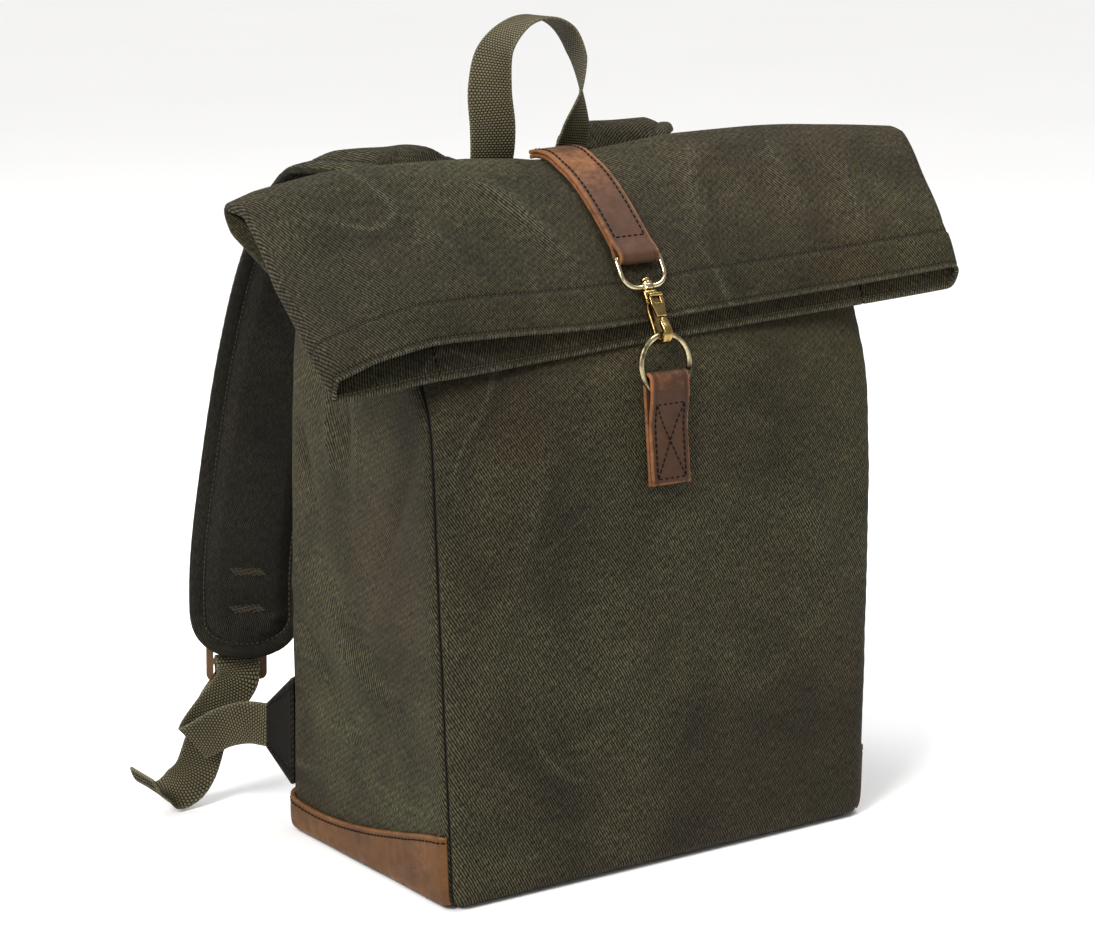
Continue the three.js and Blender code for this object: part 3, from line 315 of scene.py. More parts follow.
def srgb(red, green, blue):
    """A colour as it shows, from 0 to 255, as linear light."""
    return tuple(((c / 255 + 0.055) / 1.055) ** 2.4 for c in (red, green, blue))


def colour(name, description, *shown):
    """A colour property with its default given as it shows."""
    return FloatVectorProperty(name=name, description=description, subtype="COLOR", size=3, min=0, max=1,
                               default=srgb(*shown))


def length(name, description, millimetres):
    """A length property with its default in millimetres."""
    return FloatProperty(name=name, description=description, default=millimetres * MM, min=0, unit="LENGTH",
                         precision=5)


class BackpackSizes(bpy.types.PropertyGroup):
    """Sizes of the fine work on the backpack."""
    mesh_step: length("Cloth mesh step", "Spacing of the canvas mesh", 3.0)
    twill_pitch: length("Twill pitch", "Spacing of the canvas's diagonal ribs", 1.5)
    weave_pitch: length("Webbing weave", "Width of one bump of the webbing's weave", 2.1)
    stitch: length("Stitch", "Length of one stitch", 2.9)
    stitch_gap: length("Stitch gap", "Space between two stitches", 0.7)
    thread: length("Thread", "Diameter of the sewing thread", 0.95)


class BackpackColours(bpy.types.PropertyGroup):
    """Colours of the backpack's materials and of the stage."""
    canvas: colour("Canvas", "Waxed canvas of the body", 98, 94, 67)
    canvas_wax: colour("Wax patches", "Browner places in the canvas", 90, 73, 48)
    # Painted shade in the canvas's rib hollows, seam and stitch grooves, crease valleys and beside creases,
    # and also the canvas's own darker patches
    canvas_dark_and_shade: colour("Canvas dark", "Hollows between the canvas's ribs", 9, 8, 6)
    # Scuffed crests and edges of the canvas, and painted highlights on crease ridges
    canvas_rub_and_highlight: colour("Canvas rubbed", "Rubbed crests and edges of the canvas", 128, 124, 102)
    # Used on the pads' inner face and ends; their outer face is given the body's canvas
    pad: colour("Pad canvas", "Darker canvas of the shoulder pads", 62, 58, 45)
    wing: colour("Wing canvas", "Dark canvas of the wings that hold the webbing", 36, 31, 24)
    leather: colour("Leather", "Oiled leather", 82, 53, 33)
    leather_base: colour("Base leather", "Lighter leather on the lower sides", 98, 63, 27)
    leather_dark: colour("Leather dark", "Darker places in the leather", 48, 31, 22)
    # Bare edges of the leather, and its lighter bends, which also paint a sheen highlight there
    leather_edge_and_sheen: colour("Leather edge", "Bare edges and bent places of the leather", 138, 90, 53)
    webbing: colour("Webbing", "Woven webbing", 105, 98, 73)
    # Painted shade in the hollows of the webbing's weave, and also the webbing's own darker patches
    webbing_dark_and_shade: colour("Webbing dark", "Hollows of the webbing's weave", 13, 11, 8)
    brass: colour("Brass", "Bright places of the aged brass", 186, 157, 98)
    brass_pale: colour("Pale brass", "Worn brass of the loop and the ring", 212, 196, 156)
    brass_dark: colour("Brass dark", "Tarnish in the hollows of the brass", 34, 25, 12)
    copper: colour("Buckle", "Metal of the slide buckles", 186, 148, 114)
    thread: colour("Thread", "Sewing thread", 10, 8, 6)
    canvas_thread: colour("Flap thread", "Sewing thread along the flap's hem", 60, 55, 41)
    pad_thread: colour("Pad thread", "Sewing thread on the shoulder pads", 62, 57, 45)
    floor: colour("Floor", "Pale floor", 247, 247, 247)


# Arithmetic on arrays of points

def unit(vectors):
    return vectors / np.maximum(np.linalg.norm(vectors, axis=-1, keepdims=True), 1e-12)


def smoothstep(value, low, high):
    t = np.clip((value - low) / (high - low), 0, 1)
    return t * t * (3 - 2 * t)


def fade(value, name):
    """How far a value has gone through a named range, from 0 to 1."""
    return smoothstep(value, *FADE[name])


def bell(away, wide):
    """1 at no distance, falling smoothly to almost 0 at twice the width."""
    return np.exp(-(away / wide) ** 2)


def alike(*values):
    """Values as arrays of one shape."""
    return np.broadcast_arrays(*(np.asarray(value, float) for value in values))


def mix(a, b, t):
    return a + (b - a) * t


def bend(a, b, c, t):
    return mix(mix(a, b, t), mix(b, c, t), t)


def run_of(points):
    """Distance along a line of points."""
    return np.concatenate([[0], np.cumsum(np.linalg.norm(np.diff(points, axis=0), axis=1))])


def row_runs(grid):
    """Distance along each row of a grid of points."""
    return np.cumsum(np.linalg.norm(np.diff(grid, axis=1, prepend=grid[:, :1]), axis=2), axis=1)


def read_line(at, run, values):
    """Values given along a run, read at other places on it."""
    at = np.asarray(at, float)
    return np.stack([np.interp(at, run, column) for column in np.moveaxis(values, -1, 0)], -1)


def table_curve(table):
    """A smooth reading of a table's columns by row number."""
    ends = np.vstack([2 * table[0] - table[1], table, 2 * table[-1] - table[-2]])

    def read(v):
        row = np.clip(v.astype(int), 0, len(table) - 2)
        t = (v - row)[..., None]
        a, b, c, d = (ends[row + k] for k in range(4))
        return b + 0.5 * t * (c - a + t * (2 * a - 5 * b + 4 * c - d + t * (3 * (b - c) + d - a)))
    return read


def smooth_line(points, shares):
    """Places and directions at shares of a centripetal curve through points."""
    ends = np.vstack([2 * points[0] - points[1], points, 2 * points[-1] - points[-2]])
    at = np.clip(shares, 0, 1) * (len(points) - 1)
    row = np.minimum(at.astype(int), len(points) - 2)
    t = (at - row)[:, None]
    a, b, c, d = (ends[row + k] for k in range(4))
    ab, bc, cd = (np.linalg.norm(q - p, axis=1)[:, None] ** 0.5 for p, q in ((a, b), (b, c), (c, d)))
    m = ((b - a) / ab - (c - a) / (ab + bc) + (c - b) / bc) * bc
    n = ((c - b) / bc - (d - b) / (bc + cd) + (d - c) / cd) * bc
    square = -3 * b + 3 * c - 2 * m - n
    cube = 2 * b - 2 * c + m + n
    return b + t * (m + t * (square + t * cube)), unit(m + t * (2 * square + t * 3 * cube))


LATTICE_SIZE = 16
LATTICE = np.random.default_rng(11).uniform(-1, 1, (LATTICE_SIZE, LATTICE_SIZE, LATTICE_SIZE))
NOISE_START = 40


def soft_noise(points, size):
    """Smooth noise from -1 to 1 over places, with bumps of about the size."""
    place = points / size + NOISE_START
    cell = np.floor(place).astype(int)
    t = place - cell
    t = t * t * (3 - 2 * t)
    total = 0
    for corner in np.ndindex(2, 2, 2):
        weight = np.prod(np.where(corner, t, 1 - t), axis=-1)
        i, j, k = np.moveaxis((cell + corner) % LATTICE_SIZE, -1, 0)
        total = total + weight * LATTICE[i, j, k]
    return total


# The canvas tube

tube_row = table_curve(TUBE)


def toward(start, end, distance):
    way = end - start
    return start + way * np.minimum(0.5, distance / np.maximum(np.abs(way), 1e-9))


def section(u, corner_x, side_x, crown, rounding, depth, edge):
    """Half the tube's section as across + deep * 1j: u runs from 0, the middle of the front, over 2, the
    end of the front corner, and 4, the side fold, to 8, the middle of the back."""
    reach = mix(depth / 4, edge, np.clip((side_x - corner_x) / 40, 0, 1))
    back = 1j * (depth - crown)
    corners = [corner_x - back, side_x - 1j * reach, side_x + 1j * reach, corner_x + back]
    line = [-back, *corners, back]
    rounds = [rounding, 0.98 * reach, 0.98 * reach, rounding]
    starts = [toward(corners[i], line[i], rounds[i]) for i in range(4)]
    ends = [toward(corners[i], line[i + 2], rounds[i]) for i in range(4)]
    span = np.minimum(u.astype(int), 7)
    t = u - span
    pieces = [
        mix(-back, starts[0], t),
        bend(starts[0], corners[0], ends[0], t),
        mix(ends[0], starts[1], t),
        bend(starts[1], corners[1], ends[1], t),
        bend(starts[2], corners[2], ends[2], t),
        mix(ends[2], starts[3], t),
        bend(starts[3], corners[3], ends[3], t),
        mix(ends[3], back, t),
    ]
    point = np.choose(span, pieces)
    bulge = crown * np.maximum(0, 1 - (point.real / corner_x) ** 2)
    return point + 1j * np.where(u < 4, -bulge, bulge)


def tube_point(w, v):
    """The tube's middle surface: w runs from -8, the middle of the back, over the left side to 0, the
    middle of the front, and over the right side to 8; v is the row of the table."""
    w, v = alike(w, v)
    front_y, front_z, back_y, back_z, corner_x, side_x, crown, rounding = np.moveaxis(tube_row(v), -1, 0)
    turn, lean, shift, bow, sag, end = (np.interp(v, DRAPE[:, 0], DRAPE[:, k]) for k in range(1, 7))
    depth = np.hypot(back_y - front_y, back_z - front_z) / 2
    flat = section(np.abs(w), corner_x, side_x, crown, rounding, depth, np.where(w < 0, SIDE_FOLD, end))
    share = (flat.imag + depth) / (2 * depth)
    x = np.where(w < 0, -flat.real, flat.real)
    out = (x / side_x) ** 2
    y = mix(front_y, back_y, share) + turn * x + bow * out
    z = mix(front_z, back_z, share) + lean * x + sag * out * out
    x = x + shift * out
    left_x, left_z, right_x, ridge = (np.interp(v, SETTLE[:, 0], SETTLE[:, k]) for k in range(1, 5))
    left = fade(-x, "left_end")
    z = z + left * left_z + ridge * np.interp(x, *RIDGE_LIFT.T) \
        + np.where(w < 0, np.interp(-w, *HEM_LIFT.T), 0) * fade(v, "hem_rows")
    return np.stack([x + left * left_x + fade(x, "right_end") * right_x, y, z], -1)


def tube_normal(w, v):
    w, v = alike(w, v)
    across = tube_point(w + NEAR, v) - tube_point(w - NEAR, v)
    up = tube_point(w, np.minimum(v + NEAR, LAST_ROW)) - tube_point(w, np.maximum(v - NEAR, 0))
    return unit(np.cross(across, up))


def face_share(face, w):
    """How far a place round the tube belongs to a face, from 0 to 1."""
    u = np.abs(w)
    if face == "front":
        return 1 - fade(u, "front_edge")
    if face == "back":
        return fade(u, "back_edge")
    side = fade(u, "side_front") * (1 - fade(u, "side_back"))
    return np.where((w < 0) == (face == "left"), side, 0)


def turned(x, y, heading):
    """A place's distances along a heading and aside of it."""
    turn = math.radians(heading)
    return x * math.cos(turn) + y * math.sin(turn), y * math.cos(turn) - x * math.sin(turn)


def dent_depth(table, point, w, sharp=2.0):
    """Depth of a table's dents or creases; the lower sharp is, the more each comes to an edge."""
    depth = 0
    for face, across, up, slope, long, wide, deep in table:
        side = point[..., 1 if face in ("left", "right") else 0] - across
        along, aside = turned(side, point[..., 2] - up, slope)
        dent = np.exp(-(along / long) ** 2 - np.abs(aside / wide) ** sharp)
        depth = depth + deep * dent * face_share(face, w)
    return depth


def skin_point(w, v, lift=0.0):
    """A place on the canvas, lifted outward from its middle surface."""
    w, v = alike(w, v)
    point = tube_point(w, v)
    depth = np.where(v < DENT_ROWS, dent_depth(DENTS, point, w), 0)
    return point + tube_normal(w, v) * (depth + lift)[..., None]


def row_at_height(w, height):
    rows = np.linspace(0, BODY_ROWS, 801)
    return np.interp(height, tube_point(w, rows)[:, 2], rows)


def back_seat(x, v, thickness):
    """A place on the back at x across and row v for the middle of a strip of the thickness."""
    row = tube_row(np.asarray(v, float))
    u = BACK_MIDDLE - np.abs(x) / (row[..., 4] - row[..., 7])
    return skin_point(np.where(np.asarray(x) < 0, -u, u), v, CANVAS / 2 + GAP + thickness / 2)


def back_way(x, v):
    """The way across the back, from a little left of a place to as far right of it."""
    reach = 8
    return unit(back_seat(x + reach, v, 0) - back_seat(x - reach, v, 0))


# Meshes

def new_mesh(name, points, faces, cloth=None, wear_and_shade=None, sharp=50):
    """A smooth mesh from points in millimetres, with its cloth map and a mark per place that lightens it
    where it is scuffed and, below zero, paints shade into grooves.
    """
    mesh = bpy.data.meshes.new(name)
    mesh.from_pydata((points * MM).tolist(), [], faces)
    mesh.shade_smooth()
    mesh.set_sharp_from_angle(angle=math.radians(sharp))
    if cloth is not None:
        corner = np.empty(len(mesh.loops), np.int32)
        mesh.loops.foreach_get("vertex_index", corner)
        layer = mesh.uv_layers.new(name="cloth")
        layer.uv.foreach_set("vector", (cloth * MM)[corner].astype(np.float32).ravel())
    if wear_and_shade is not None:
        set_wear_and_shade(mesh, np.clip(wear_and_shade, -1, 1))
    return mesh


def set_wear_and_shade(mesh, wear_and_shade):
    mark = mesh.attributes.new("wear_and_shade", "FLOAT", "POINT")
    mark.data.foreach_set("value", wear_and_shade.astype(np.float32).ravel())


def new_object(name, data):
    """Puts a mesh, a light or a camera in the scene."""
    made = bpy.data.objects.new(name, data)
    bpy.context.scene.collection.objects.link(made)
    return made


def add_piece(name, mesh, material, nodes=(), body="bag"):
    """Puts a mesh in the scene as a piece that rides on a body and stands for CAD nodes."""
    piece = new_object(name, mesh)
    mesh.materials.append(look(material))
    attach(piece, body)
    if nodes:
        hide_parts(*nodes)
    return piece


def quads(a, b, c, d):
    return np.stack([a, b, c, d], -1).reshape(-1, 4).tolist()


def sheet_mesh(name, grid, normals, thickness, cloth, wear_and_shade, sharp=60):
    """A sheet of cloth or leather on a grid of points, with a rounded rim; thickness may vary."""
    rows, columns = grid.shape[:2]
    half = np.broadcast_to(np.asarray(thickness, float) / 2, (rows, columns))[..., None]
    number = np.arange(rows * columns).reshape(rows, columns)
    under = rows * columns
    rim = np.concatenate([number[0, :-1], number[:-1, -1], number[-1, :0:-1], number[:0:-1, 0]])
    inner = np.clip(np.arange(rows), 1, rows - 2)[:, None], np.clip(np.arange(columns), 1, columns - 2)[None]
    outward = unit(grid - grid[inner]).reshape(-1, 3)[rim]
    flat = grid.reshape(-1, 3)
    edge = flat[rim] + outward * half.reshape(-1, 1)[rim] * 0.55
    over, below = ((grid + face * normals * half).reshape(-1, 3) for face in (1, -1))
    points = np.concatenate([over, below, edge])
    a = number[:-1, :-1]
    b = number[1:, :-1]
    faces = quads(a, a + 1, b + 1, b) + quads(under + a, under + b, under + b + 1, under + a + 1)
    following = np.roll(rim, -1)
    middle = 2 * under + np.arange(len(rim))
    after = np.roll(middle, -1)
    faces += quads(rim, middle, after, following) + quads(middle, under + rim, under + following, after)
    flat_cloth = cloth.reshape(-1, 2)
    flat_wear_and_shade = np.broadcast_to(wear_and_shade, (rows, columns)).ravel()
    return new_mesh(name, points, faces, np.concatenate([flat_cloth, flat_cloth, flat_cloth[rim]]),
                    np.concatenate([flat_wear_and_shade, flat_wear_and_shade, flat_wear_and_shade[rim]]), sharp)


def loft_mesh(name, rings, cloth=None, wear_and_shade=None, closed=False, sharp=50):
    """A closed body through rings of points, with flat ends unless the last ring joins the first."""
    count, sides = rings.shape[:2]
    number = np.arange(count * sides).reshape(count, sides)
    low = number if closed else number[:-1]
    high = np.roll(number, -1, axis=0) if closed else number[1:]
    faces = quads(low, np.roll(low, -1, axis=1), np.roll(high, -1, axis=1), high)
    if not closed:
        faces += [number[0, ::-1].tolist(), number[-1].tolist()]
    points = rings.reshape(-1, 3)
    if signed_volume(points, faces) < 0:
        faces = [face[::-1] for face in faces]
    return new_mesh(name, points, faces, None if cloth is None else cloth.reshape(-1, 2), wear_and_shade, sharp)


def signed_volume(points, faces):
    total = 0.0
    middle = points.mean(axis=0)
    for face in faces:
        corners = points[face] - middle
        total += (np.cross(corners[1:-1], corners[2:]) @ corners[0]).sum()
    return total


def joined(name, meshes):
    """One mesh of several, which are used up."""
    pieces = [new_object(name, mesh) for mesh in meshes]
    with bpy.context.temp_override(active_object=pieces[0], selected_editable_objects=pieces):
        bpy.ops.object.join()
    mesh = pieces[0].data
    bpy.data.objects.remove(pieces[0])
    mesh.name = name
    return mesh


def cast(name, meshes, voxel, smooth, cut=None):
    """One cast body from overlapping closed meshes, softened, with marked hollows and a cut if it has one."""
    piece = new_object(name, joined(name, meshes))
    melt = piece.modifiers.new("melt", "REMESH")
    melt.mode = "VOXEL"
    melt.voxel_size = voxel * MM
    soften = piece.modifiers.new("soften", "SMOOTH")
    soften.factor = 0.5
    soften.iterations = smooth
    if cut:
        tool = new_object("cut", cut)
        bore = piece.modifiers.new("cut", "BOOLEAN")
        bore.object, bore.operation, bore.solver = tool, "DIFFERENCE", "EXACT"
    mesh = bpy.data.meshes.new_from_object(piece.evaluated_get(bpy.context.evaluated_depsgraph_get()))
    bpy.data.objects.remove(piece)
    if cut:
        bpy.data.objects.remove(tool)
    mesh.name = name
    mesh.shade_smooth()
    mark_hollows(mesh)
    return mesh


def mark_hollows(mesh):
    """Writes how far each place of a mesh lies in a hollow, 0.5 where it is flat, to its wear."""
    count = len(mesh.vertices)
    points, normals = np.empty(count * 3), np.empty(count * 3)
    mesh.vertices.foreach_get("co", points)
    mesh.vertices.foreach_get("normal", normals)
    edges = np.empty(len(mesh.edges) * 2, np.int32)
    mesh.edges.foreach_get("vertices", edges)
    points, normals, edges = points.reshape(-1, 3), normals.reshape(-1, 3), edges.reshape(-1, 2)
    ends = np.concatenate([edges, edges[:, ::-1]])
    near = np.maximum(np.bincount(ends[:, 0], minlength=count), 1)

    def around(values):
        sums = [np.bincount(ends[:, 0], column[ends[:, 1]], count) for column in values.T]
        return np.stack(sums, -1) / near[:, None]
    rise = ((around(points) - points) * normals).sum(axis=1, keepdims=True)
    for _ in range(4):
        rise = around(rise)
    spread = np.percentile(np.abs(rise), 92)
    set_wear_and_shade(mesh, np.clip(0.5 - 0.5 * rise / spread, 0, 1))


class Ribbon:
    """A strip's middle line with its width's direction and its normal, by distance along it."""

    def __init__(self, points, ways, step):
        fine = np.linspace(0, 1, RIBBON_STEPS)
        place, along = smooth_line(np.asarray(points, float), fine)
        row = np.minimum(fine * (len(points) - 1), len(points) - 1.000001)
        low = row.astype(int)
        across = mix(ways[low], ways[low + 1], (row - low)[:, None])
        wide = unit(across - along * (across * along).sum(axis=1, keepdims=True))
        self.run = run_of(place)
        self.frame = np.concatenate([place, wide, np.cross(along, wide)], axis=1)
        self.long = self.run[-1]
        self.steps = np.linspace(0, self.long, max(3, round(self.long / step)))

    def at(self, along, across, out):
        """Places at distances along, across and out of the strip."""
        found = read_line(along, self.run, self.frame)
        place, wide, normal = found[..., 0:3], unit(found[..., 3:6]), unit(found[..., 6:9])
        return place + wide * np.asarray(across)[..., None] + normal * np.asarray(out)[..., None]

    def normal(self, along):
        return unit(read_line(along, self.run, self.frame[:, 6:9]))


def webbing_section():
    """Across and out of a webbing strip's section, with thicker edges and round sides."""
    half, thick, middle_share, edge_round = WEBBING_WIDTH / 2, WEBBING_THICKNESS / 2, 0.86, 0.9
    flat = np.linspace(-1, 1, 11) * (half - edge_round)
    rise = thick * mix(middle_share, 1, (np.abs(flat) / half) ** 6)
    side_rise = thick * 0.55 / 0.75
    side = np.array([(half - 0.25, side_rise), (half, 0.0), (half - 0.25, -side_rise)])
    top = np.stack([flat, rise], 1)
    return np.concatenate([top, side, -top, -side])


def strip_mesh(name, ribbon, outline):
    """A strip of one section along a ribbon."""
    along = ribbon.steps
    rings = ribbon.at(along[:, None], outline[None, :, 0], outline[None, :, 1])
    cloth = np.stack(np.broadcast_arrays(outline[None, :, 0], along[:, None]), -1)
    edge = smoothstep(np.abs(outline[:, 0]), 0.86 * outline[:, 0].max(), outline[:, 0].max())
    wear_and_shade = np.broadcast_to(edge, cloth.shape[:2])
    return loft_mesh(name, rings, cloth, wear_and_shade.ravel())


def mirrored(mesh, name):
    """The mesh on the other side of the bag."""
    copy = mesh.copy()
    copy.name = name
    points = np.empty(len(copy.vertices) * 3, np.float32)
    copy.vertices.foreach_get("co", points)
    copy.vertices.foreach_set("co", (points.reshape(-1, 3) * MIRROR).astype(np.float32).ravel())
    copy.flip_normals()
    return copy


# Stitching

# Rings of one stitch: place along it, size and rise; and how many sides each has
STITCH_RINGS = np.array([
    (-0.5, 0.4, -0.5), (-0.34, 0.92, 0.1), (0, 1, 0.3), (0.34, 0.92, 0.1), (0.5, 0.4, -0.5),
])
STITCH_SIDES = 6
STITCH_REACH = 0.4


def stitch_points(line, normals, long, gap, thick):
    """Rings of points of the stitches along a line on a surface."""
    run = run_of(line)
    count = int(run[-1] // (long + gap))
    if count < 1:
        return np.empty((0, len(STITCH_RINGS), STITCH_SIDES, 3))
    middle = (np.arange(count) + 0.5) * run[-1] / count
    place = read_line(middle, run, line)
    up = unit(read_line(middle, run, normals))
    way = unit(read_line(middle + STITCH_REACH, run, line) - read_line(middle - STITCH_REACH, run, line))
    aside = np.cross(way, up)
    turn = np.arange(STITCH_SIDES) / STITCH_SIDES * 2 * np.pi
    along, size, rise = (STITCH_RINGS[:, k][None, :, None, None] for k in range(3))
    radius = thick / 2
    spread = aside[:, None, None] * np.cos(turn)[None, None, :, None] \
        + up[:, None, None] * np.sin(turn)[None, None, :, None]
    return place[:, None, None] + way[:, None, None] * along * long + spread * size * radius \
        + up[:, None, None] * rise * radius


def stitching(name, lines, sizes, scale=1.0, material="thread"):
    """A piece of thread: stitches along lines, each with the normals of what it is sewn through."""
    long, gap, thick = (scale * value / MM for value in (sizes.stitch, sizes.stitch_gap, sizes.thread))
    rings = np.concatenate([stitch_points(line, normals, long, gap, thick) for line, normals in lines])
    number = np.arange(rings.size // 3).reshape(-1, len(STITCH_RINGS), STITCH_SIDES)
    low, high = number[:, :-1], number[:, 1:]
    faces = quads(low, np.roll(low, -1, axis=2), np.roll(high, -1, axis=2), high)
    faces += number[:, 0, ::-1].tolist() + number[:, -1].tolist()
    points = rings.reshape(-1, 3)
    first = number[0].size
    if signed_volume(points[:first], [face for face in faces if max(face) < first]) < 0:
        faces = [face[::-1] for face in faces]
    add_piece(name, new_mesh(name, points, faces), material)


def on_ribbon(ribbon, along, across, out, side=1):
    """A stitch line on one face of a ribbon."""
    along, across, out = alike(along, across, out)
    return ribbon.at(along, across, out * side), ribbon.normal(along) * side


# Materials

def add(tree, kind, inputs=(), **settings):
    """A node whose inputs are values or the outputs that feed them."""
    node = tree.nodes.new(kind)
    for key, value in settings.items():
        setattr(node, key, value)
    for key, value in dict(inputs).items():
        if isinstance(value, bpy.types.NodeSocket):
            tree.links.new(value, node.inputs[key])
        else:
            node.inputs[key].default_value = value
    return node


def calc(tree, operation, *values):
    return add(tree, "ShaderNodeMath", enumerate(values), operation=operation).outputs[0]


def times(tree, a, b):
    return calc(tree, "MULTIPLY", a, b)


def ramp(tree, value, low, high, to_low=0.0, to_high=1.0):
    return add(tree, "ShaderNodeMapRange", {0: value, 1: low, 2: high, 3: to_low, 4: to_high}).outputs[0]


def tint(tree, share, a, b):
    """One colour turning into another; each is an output or red, green and blue."""
    a, b = (value if isinstance(value, bpy.types.NodeSocket) else (*value, 1) for value in (a, b))
    return add(tree, "ShaderNodeMix", {0: share, 6: a, 7: b}, data_type="RGBA").outputs[2]


def grain(tree, vector, scale, detail=2.0, rough=0.5):
    return add(tree, "ShaderNodeTexNoise", {"Vector": vector, "Scale": scale, "Detail": detail,
                                            "Roughness": rough}).outputs["Fac"]


def new_group(name, inputs, outputs):
    """An empty node group with its inputs, as names and defaults, and outputs."""
    tree = bpy.data.node_groups.new(name, "ShaderNodeTree")
    for label, default in inputs.items():
        kind = "NodeSocketVector" if default is None else "NodeSocketFloat"
        socket = tree.interface.new_socket(label, in_out="INPUT", socket_type=kind)
        if default is not None:
            socket.default_value = default
    for label in outputs:
        tree.interface.new_socket(label, in_out="OUTPUT", socket_type="NodeSocketFloat")
    return tree, tree.nodes.new("NodeGroupInput").outputs, tree.nodes.new("NodeGroupOutput").inputs


def twill_group():
    """Diagonal ribs of canvas: Rib is high on a rib, Slub follows uneven threads."""
    tree, given, made = new_group("Twill", {"Cloth": None, "Pitch": 0.0016, "Slope": 60.0, "Wander": 0.5},
                                  ("Rib", "Slub"))
    place = add(tree, "ShaderNodeSeparateXYZ", {0: given["Cloth"]}).outputs
    turn = calc(tree, "RADIANS", given["Slope"])
    sine, cosine = calc(tree, "SINE", turn), calc(tree, "COSINE", turn)
    across = calc(tree, "MULTIPLY_ADD", place[0], sine, times(tree, place[1], cosine))
    along = calc(tree, "SUBTRACT", times(tree, place[1], sine), times(tree, place[0], cosine))
    wander = times(tree, grain(tree, given["Cloth"], 120.0), given["Wander"])
    count = calc(tree, "ADD", calc(tree, "DIVIDE", across, given["Pitch"]), wander)
    wave = calc(tree, "SINE", times(tree, count, 2 * math.pi))
    beads = calc(tree, "SINE", times(tree, calc(tree, "DIVIDE", along, given["Pitch"]), math.pi))
    rib = calc(tree, "MULTIPLY_ADD", wave, 0.42, 0.5)
    tree.links.new(calc(tree, "MULTIPLY_ADD", beads, 0.08, rib), made["Rib"])
    stretched = add(tree, "ShaderNodeVectorMath", {0: given["Cloth"], 1: (900.0, 260.0, 1.0)},
                    operation="MULTIPLY").outputs[0]
    tree.links.new(grain(tree, stretched, 1.0, 3.0, 0.7), made["Slub"])


def weave_group():
    """Bumps of webbing in rows set off by half: Bump is high on a bump."""
    tree, given, made = new_group("Webbing weave", {"Cloth": None, "Pitch": 0.0023}, ("Bump", "Slub"))
    place = add(tree, "ShaderNodeSeparateXYZ", {0: given["Cloth"]}).outputs
    row = calc(tree, "DIVIDE", place[1], times(tree, given["Pitch"], 0.72))
    shift = times(tree, calc(tree, "FLOORED_MODULO", calc(tree, "FLOOR", row), 2.0), 0.5)
    cell = calc(tree, "ADD", calc(tree, "DIVIDE", place[0], given["Pitch"]), shift)
    sides = []
    for value in (cell, row):
        centred = calc(tree, "MULTIPLY_ADD", calc(tree, "FRACT", value), 2.0, -1.0)
        sides.append(calc(tree, "SUBTRACT", 1.0, calc(tree, "POWER", calc(tree, "ABSOLUTE", centred), 3.0)))
    tree.links.new(times(tree, *sides), made["Bump"])
    tree.links.new(grain(tree, given["Cloth"], 700.0, 3.0, 0.7), made["Slub"])


def patches_group():
    """Uneven wax or dye over a surface: Deep, Broad and Fine are soft patches."""
    tree, given, made = new_group("Patches", {"Place": None, "Scale": 8.0}, ("Deep", "Broad", "Fine"))
    deep = grain(tree, given["Place"], times(tree, given["Scale"], 1.4), 1.5, 0.5)
    broad = grain(tree, given["Place"], given["Scale"], 3.0, 0.55)
    fine = grain(tree, given["Place"], times(tree, given["Scale"], 5.0), 4.0, 0.6)
    tree.links.new(ramp(tree, deep, 0.42, 0.62), made["Deep"])
    tree.links.new(ramp(tree, broad, 0.36, 0.66), made["Broad"])
    tree.links.new(ramp(tree, fine, 0.3, 0.7), made["Fine"])


def rub_group():
    """Rubbed edges and crests: Mask is the wear broken up by noise."""
    tree, given, made = new_group("Rubbed", {"Place": None, "Wear": 0.0, "Scale": 160.0}, ("Mask",))
    noise = ramp(tree, grain(tree, given["Place"], given["Scale"], 4.0, 0.65), 0.3, 0.7, -0.35, 0.35)
    on = calc(tree, "MULTIPLY_ADD", noise, ramp(tree, given["Wear"], 0.0, 0.35), given["Wear"])
    tree.links.new(ramp(tree, on, 0.12, 0.9), made["Mask"])


def crease_shading_group():
    """Crease marks of waxed cloth here and there, painted in light and shade: the first output is high on a
    crease, for a painted highlight that also stands for wax lightened by rubbing and for relief, and the
    second lies just beside it, for painted shade.
    """
    tree, given, made = new_group("Crease shading", {"Place": None, "Scale": 8.0}, ("Line", "Side"))
    height = calc(tree, "SUBTRACT", grain(tree, given["Place"], given["Scale"], 1.0, 0.4), 0.5)
    spread = times(tree, given["Scale"], 1.3)
    there = ramp(tree, grain(tree, given["Place"], spread, 1.0), 0.52, 0.66)
    for label, middle, wide in (("Line", 0.0, 0.011), ("Side", 0.035, 0.035)):
        away = calc(tree, "ABSOLUTE", calc(tree, "SUBTRACT", height, middle))
        tree.links.new(times(tree, ramp(tree, away, 0.0, wide, 1.0, 0.0), there), made[label])


def hide_group():
    """Leather's grain: Pore is low in the pores, Crease follows long wrinkles."""
    tree, given, made = new_group("Leather grain", {"Place": None, "Scale": 900.0}, ("Pore", "Crease"))
    cells = add(tree, "ShaderNodeTexVoronoi", {"Vector": given["Place"], "Scale": given["Scale"]},
                feature="DISTANCE_TO_EDGE").outputs["Distance"]
    tree.links.new(ramp(tree, cells, 0.0, 0.25), made["Pore"])
    tree.links.new(grain(tree, given["Place"], 130.0, 5.0, 0.62), made["Crease"])


def new_look(name, specular=None):
    """A new material's node tree, its shader and the place that patterns follow."""
    material = bpy.data.materials.new(name)
    material.use_nodes = True
    tree = material.node_tree
    tree.nodes.clear()
    shader = add(tree, "ShaderNodeBsdfPrincipled")
    add(tree, "ShaderNodeOutputMaterial", {"Surface": shader.outputs[0]})
    if specular is not None:
        shader.inputs["Specular IOR Level"].default_value = specular
    return tree, shader, add(tree, "ShaderNodeTexCoord").outputs["Object"]


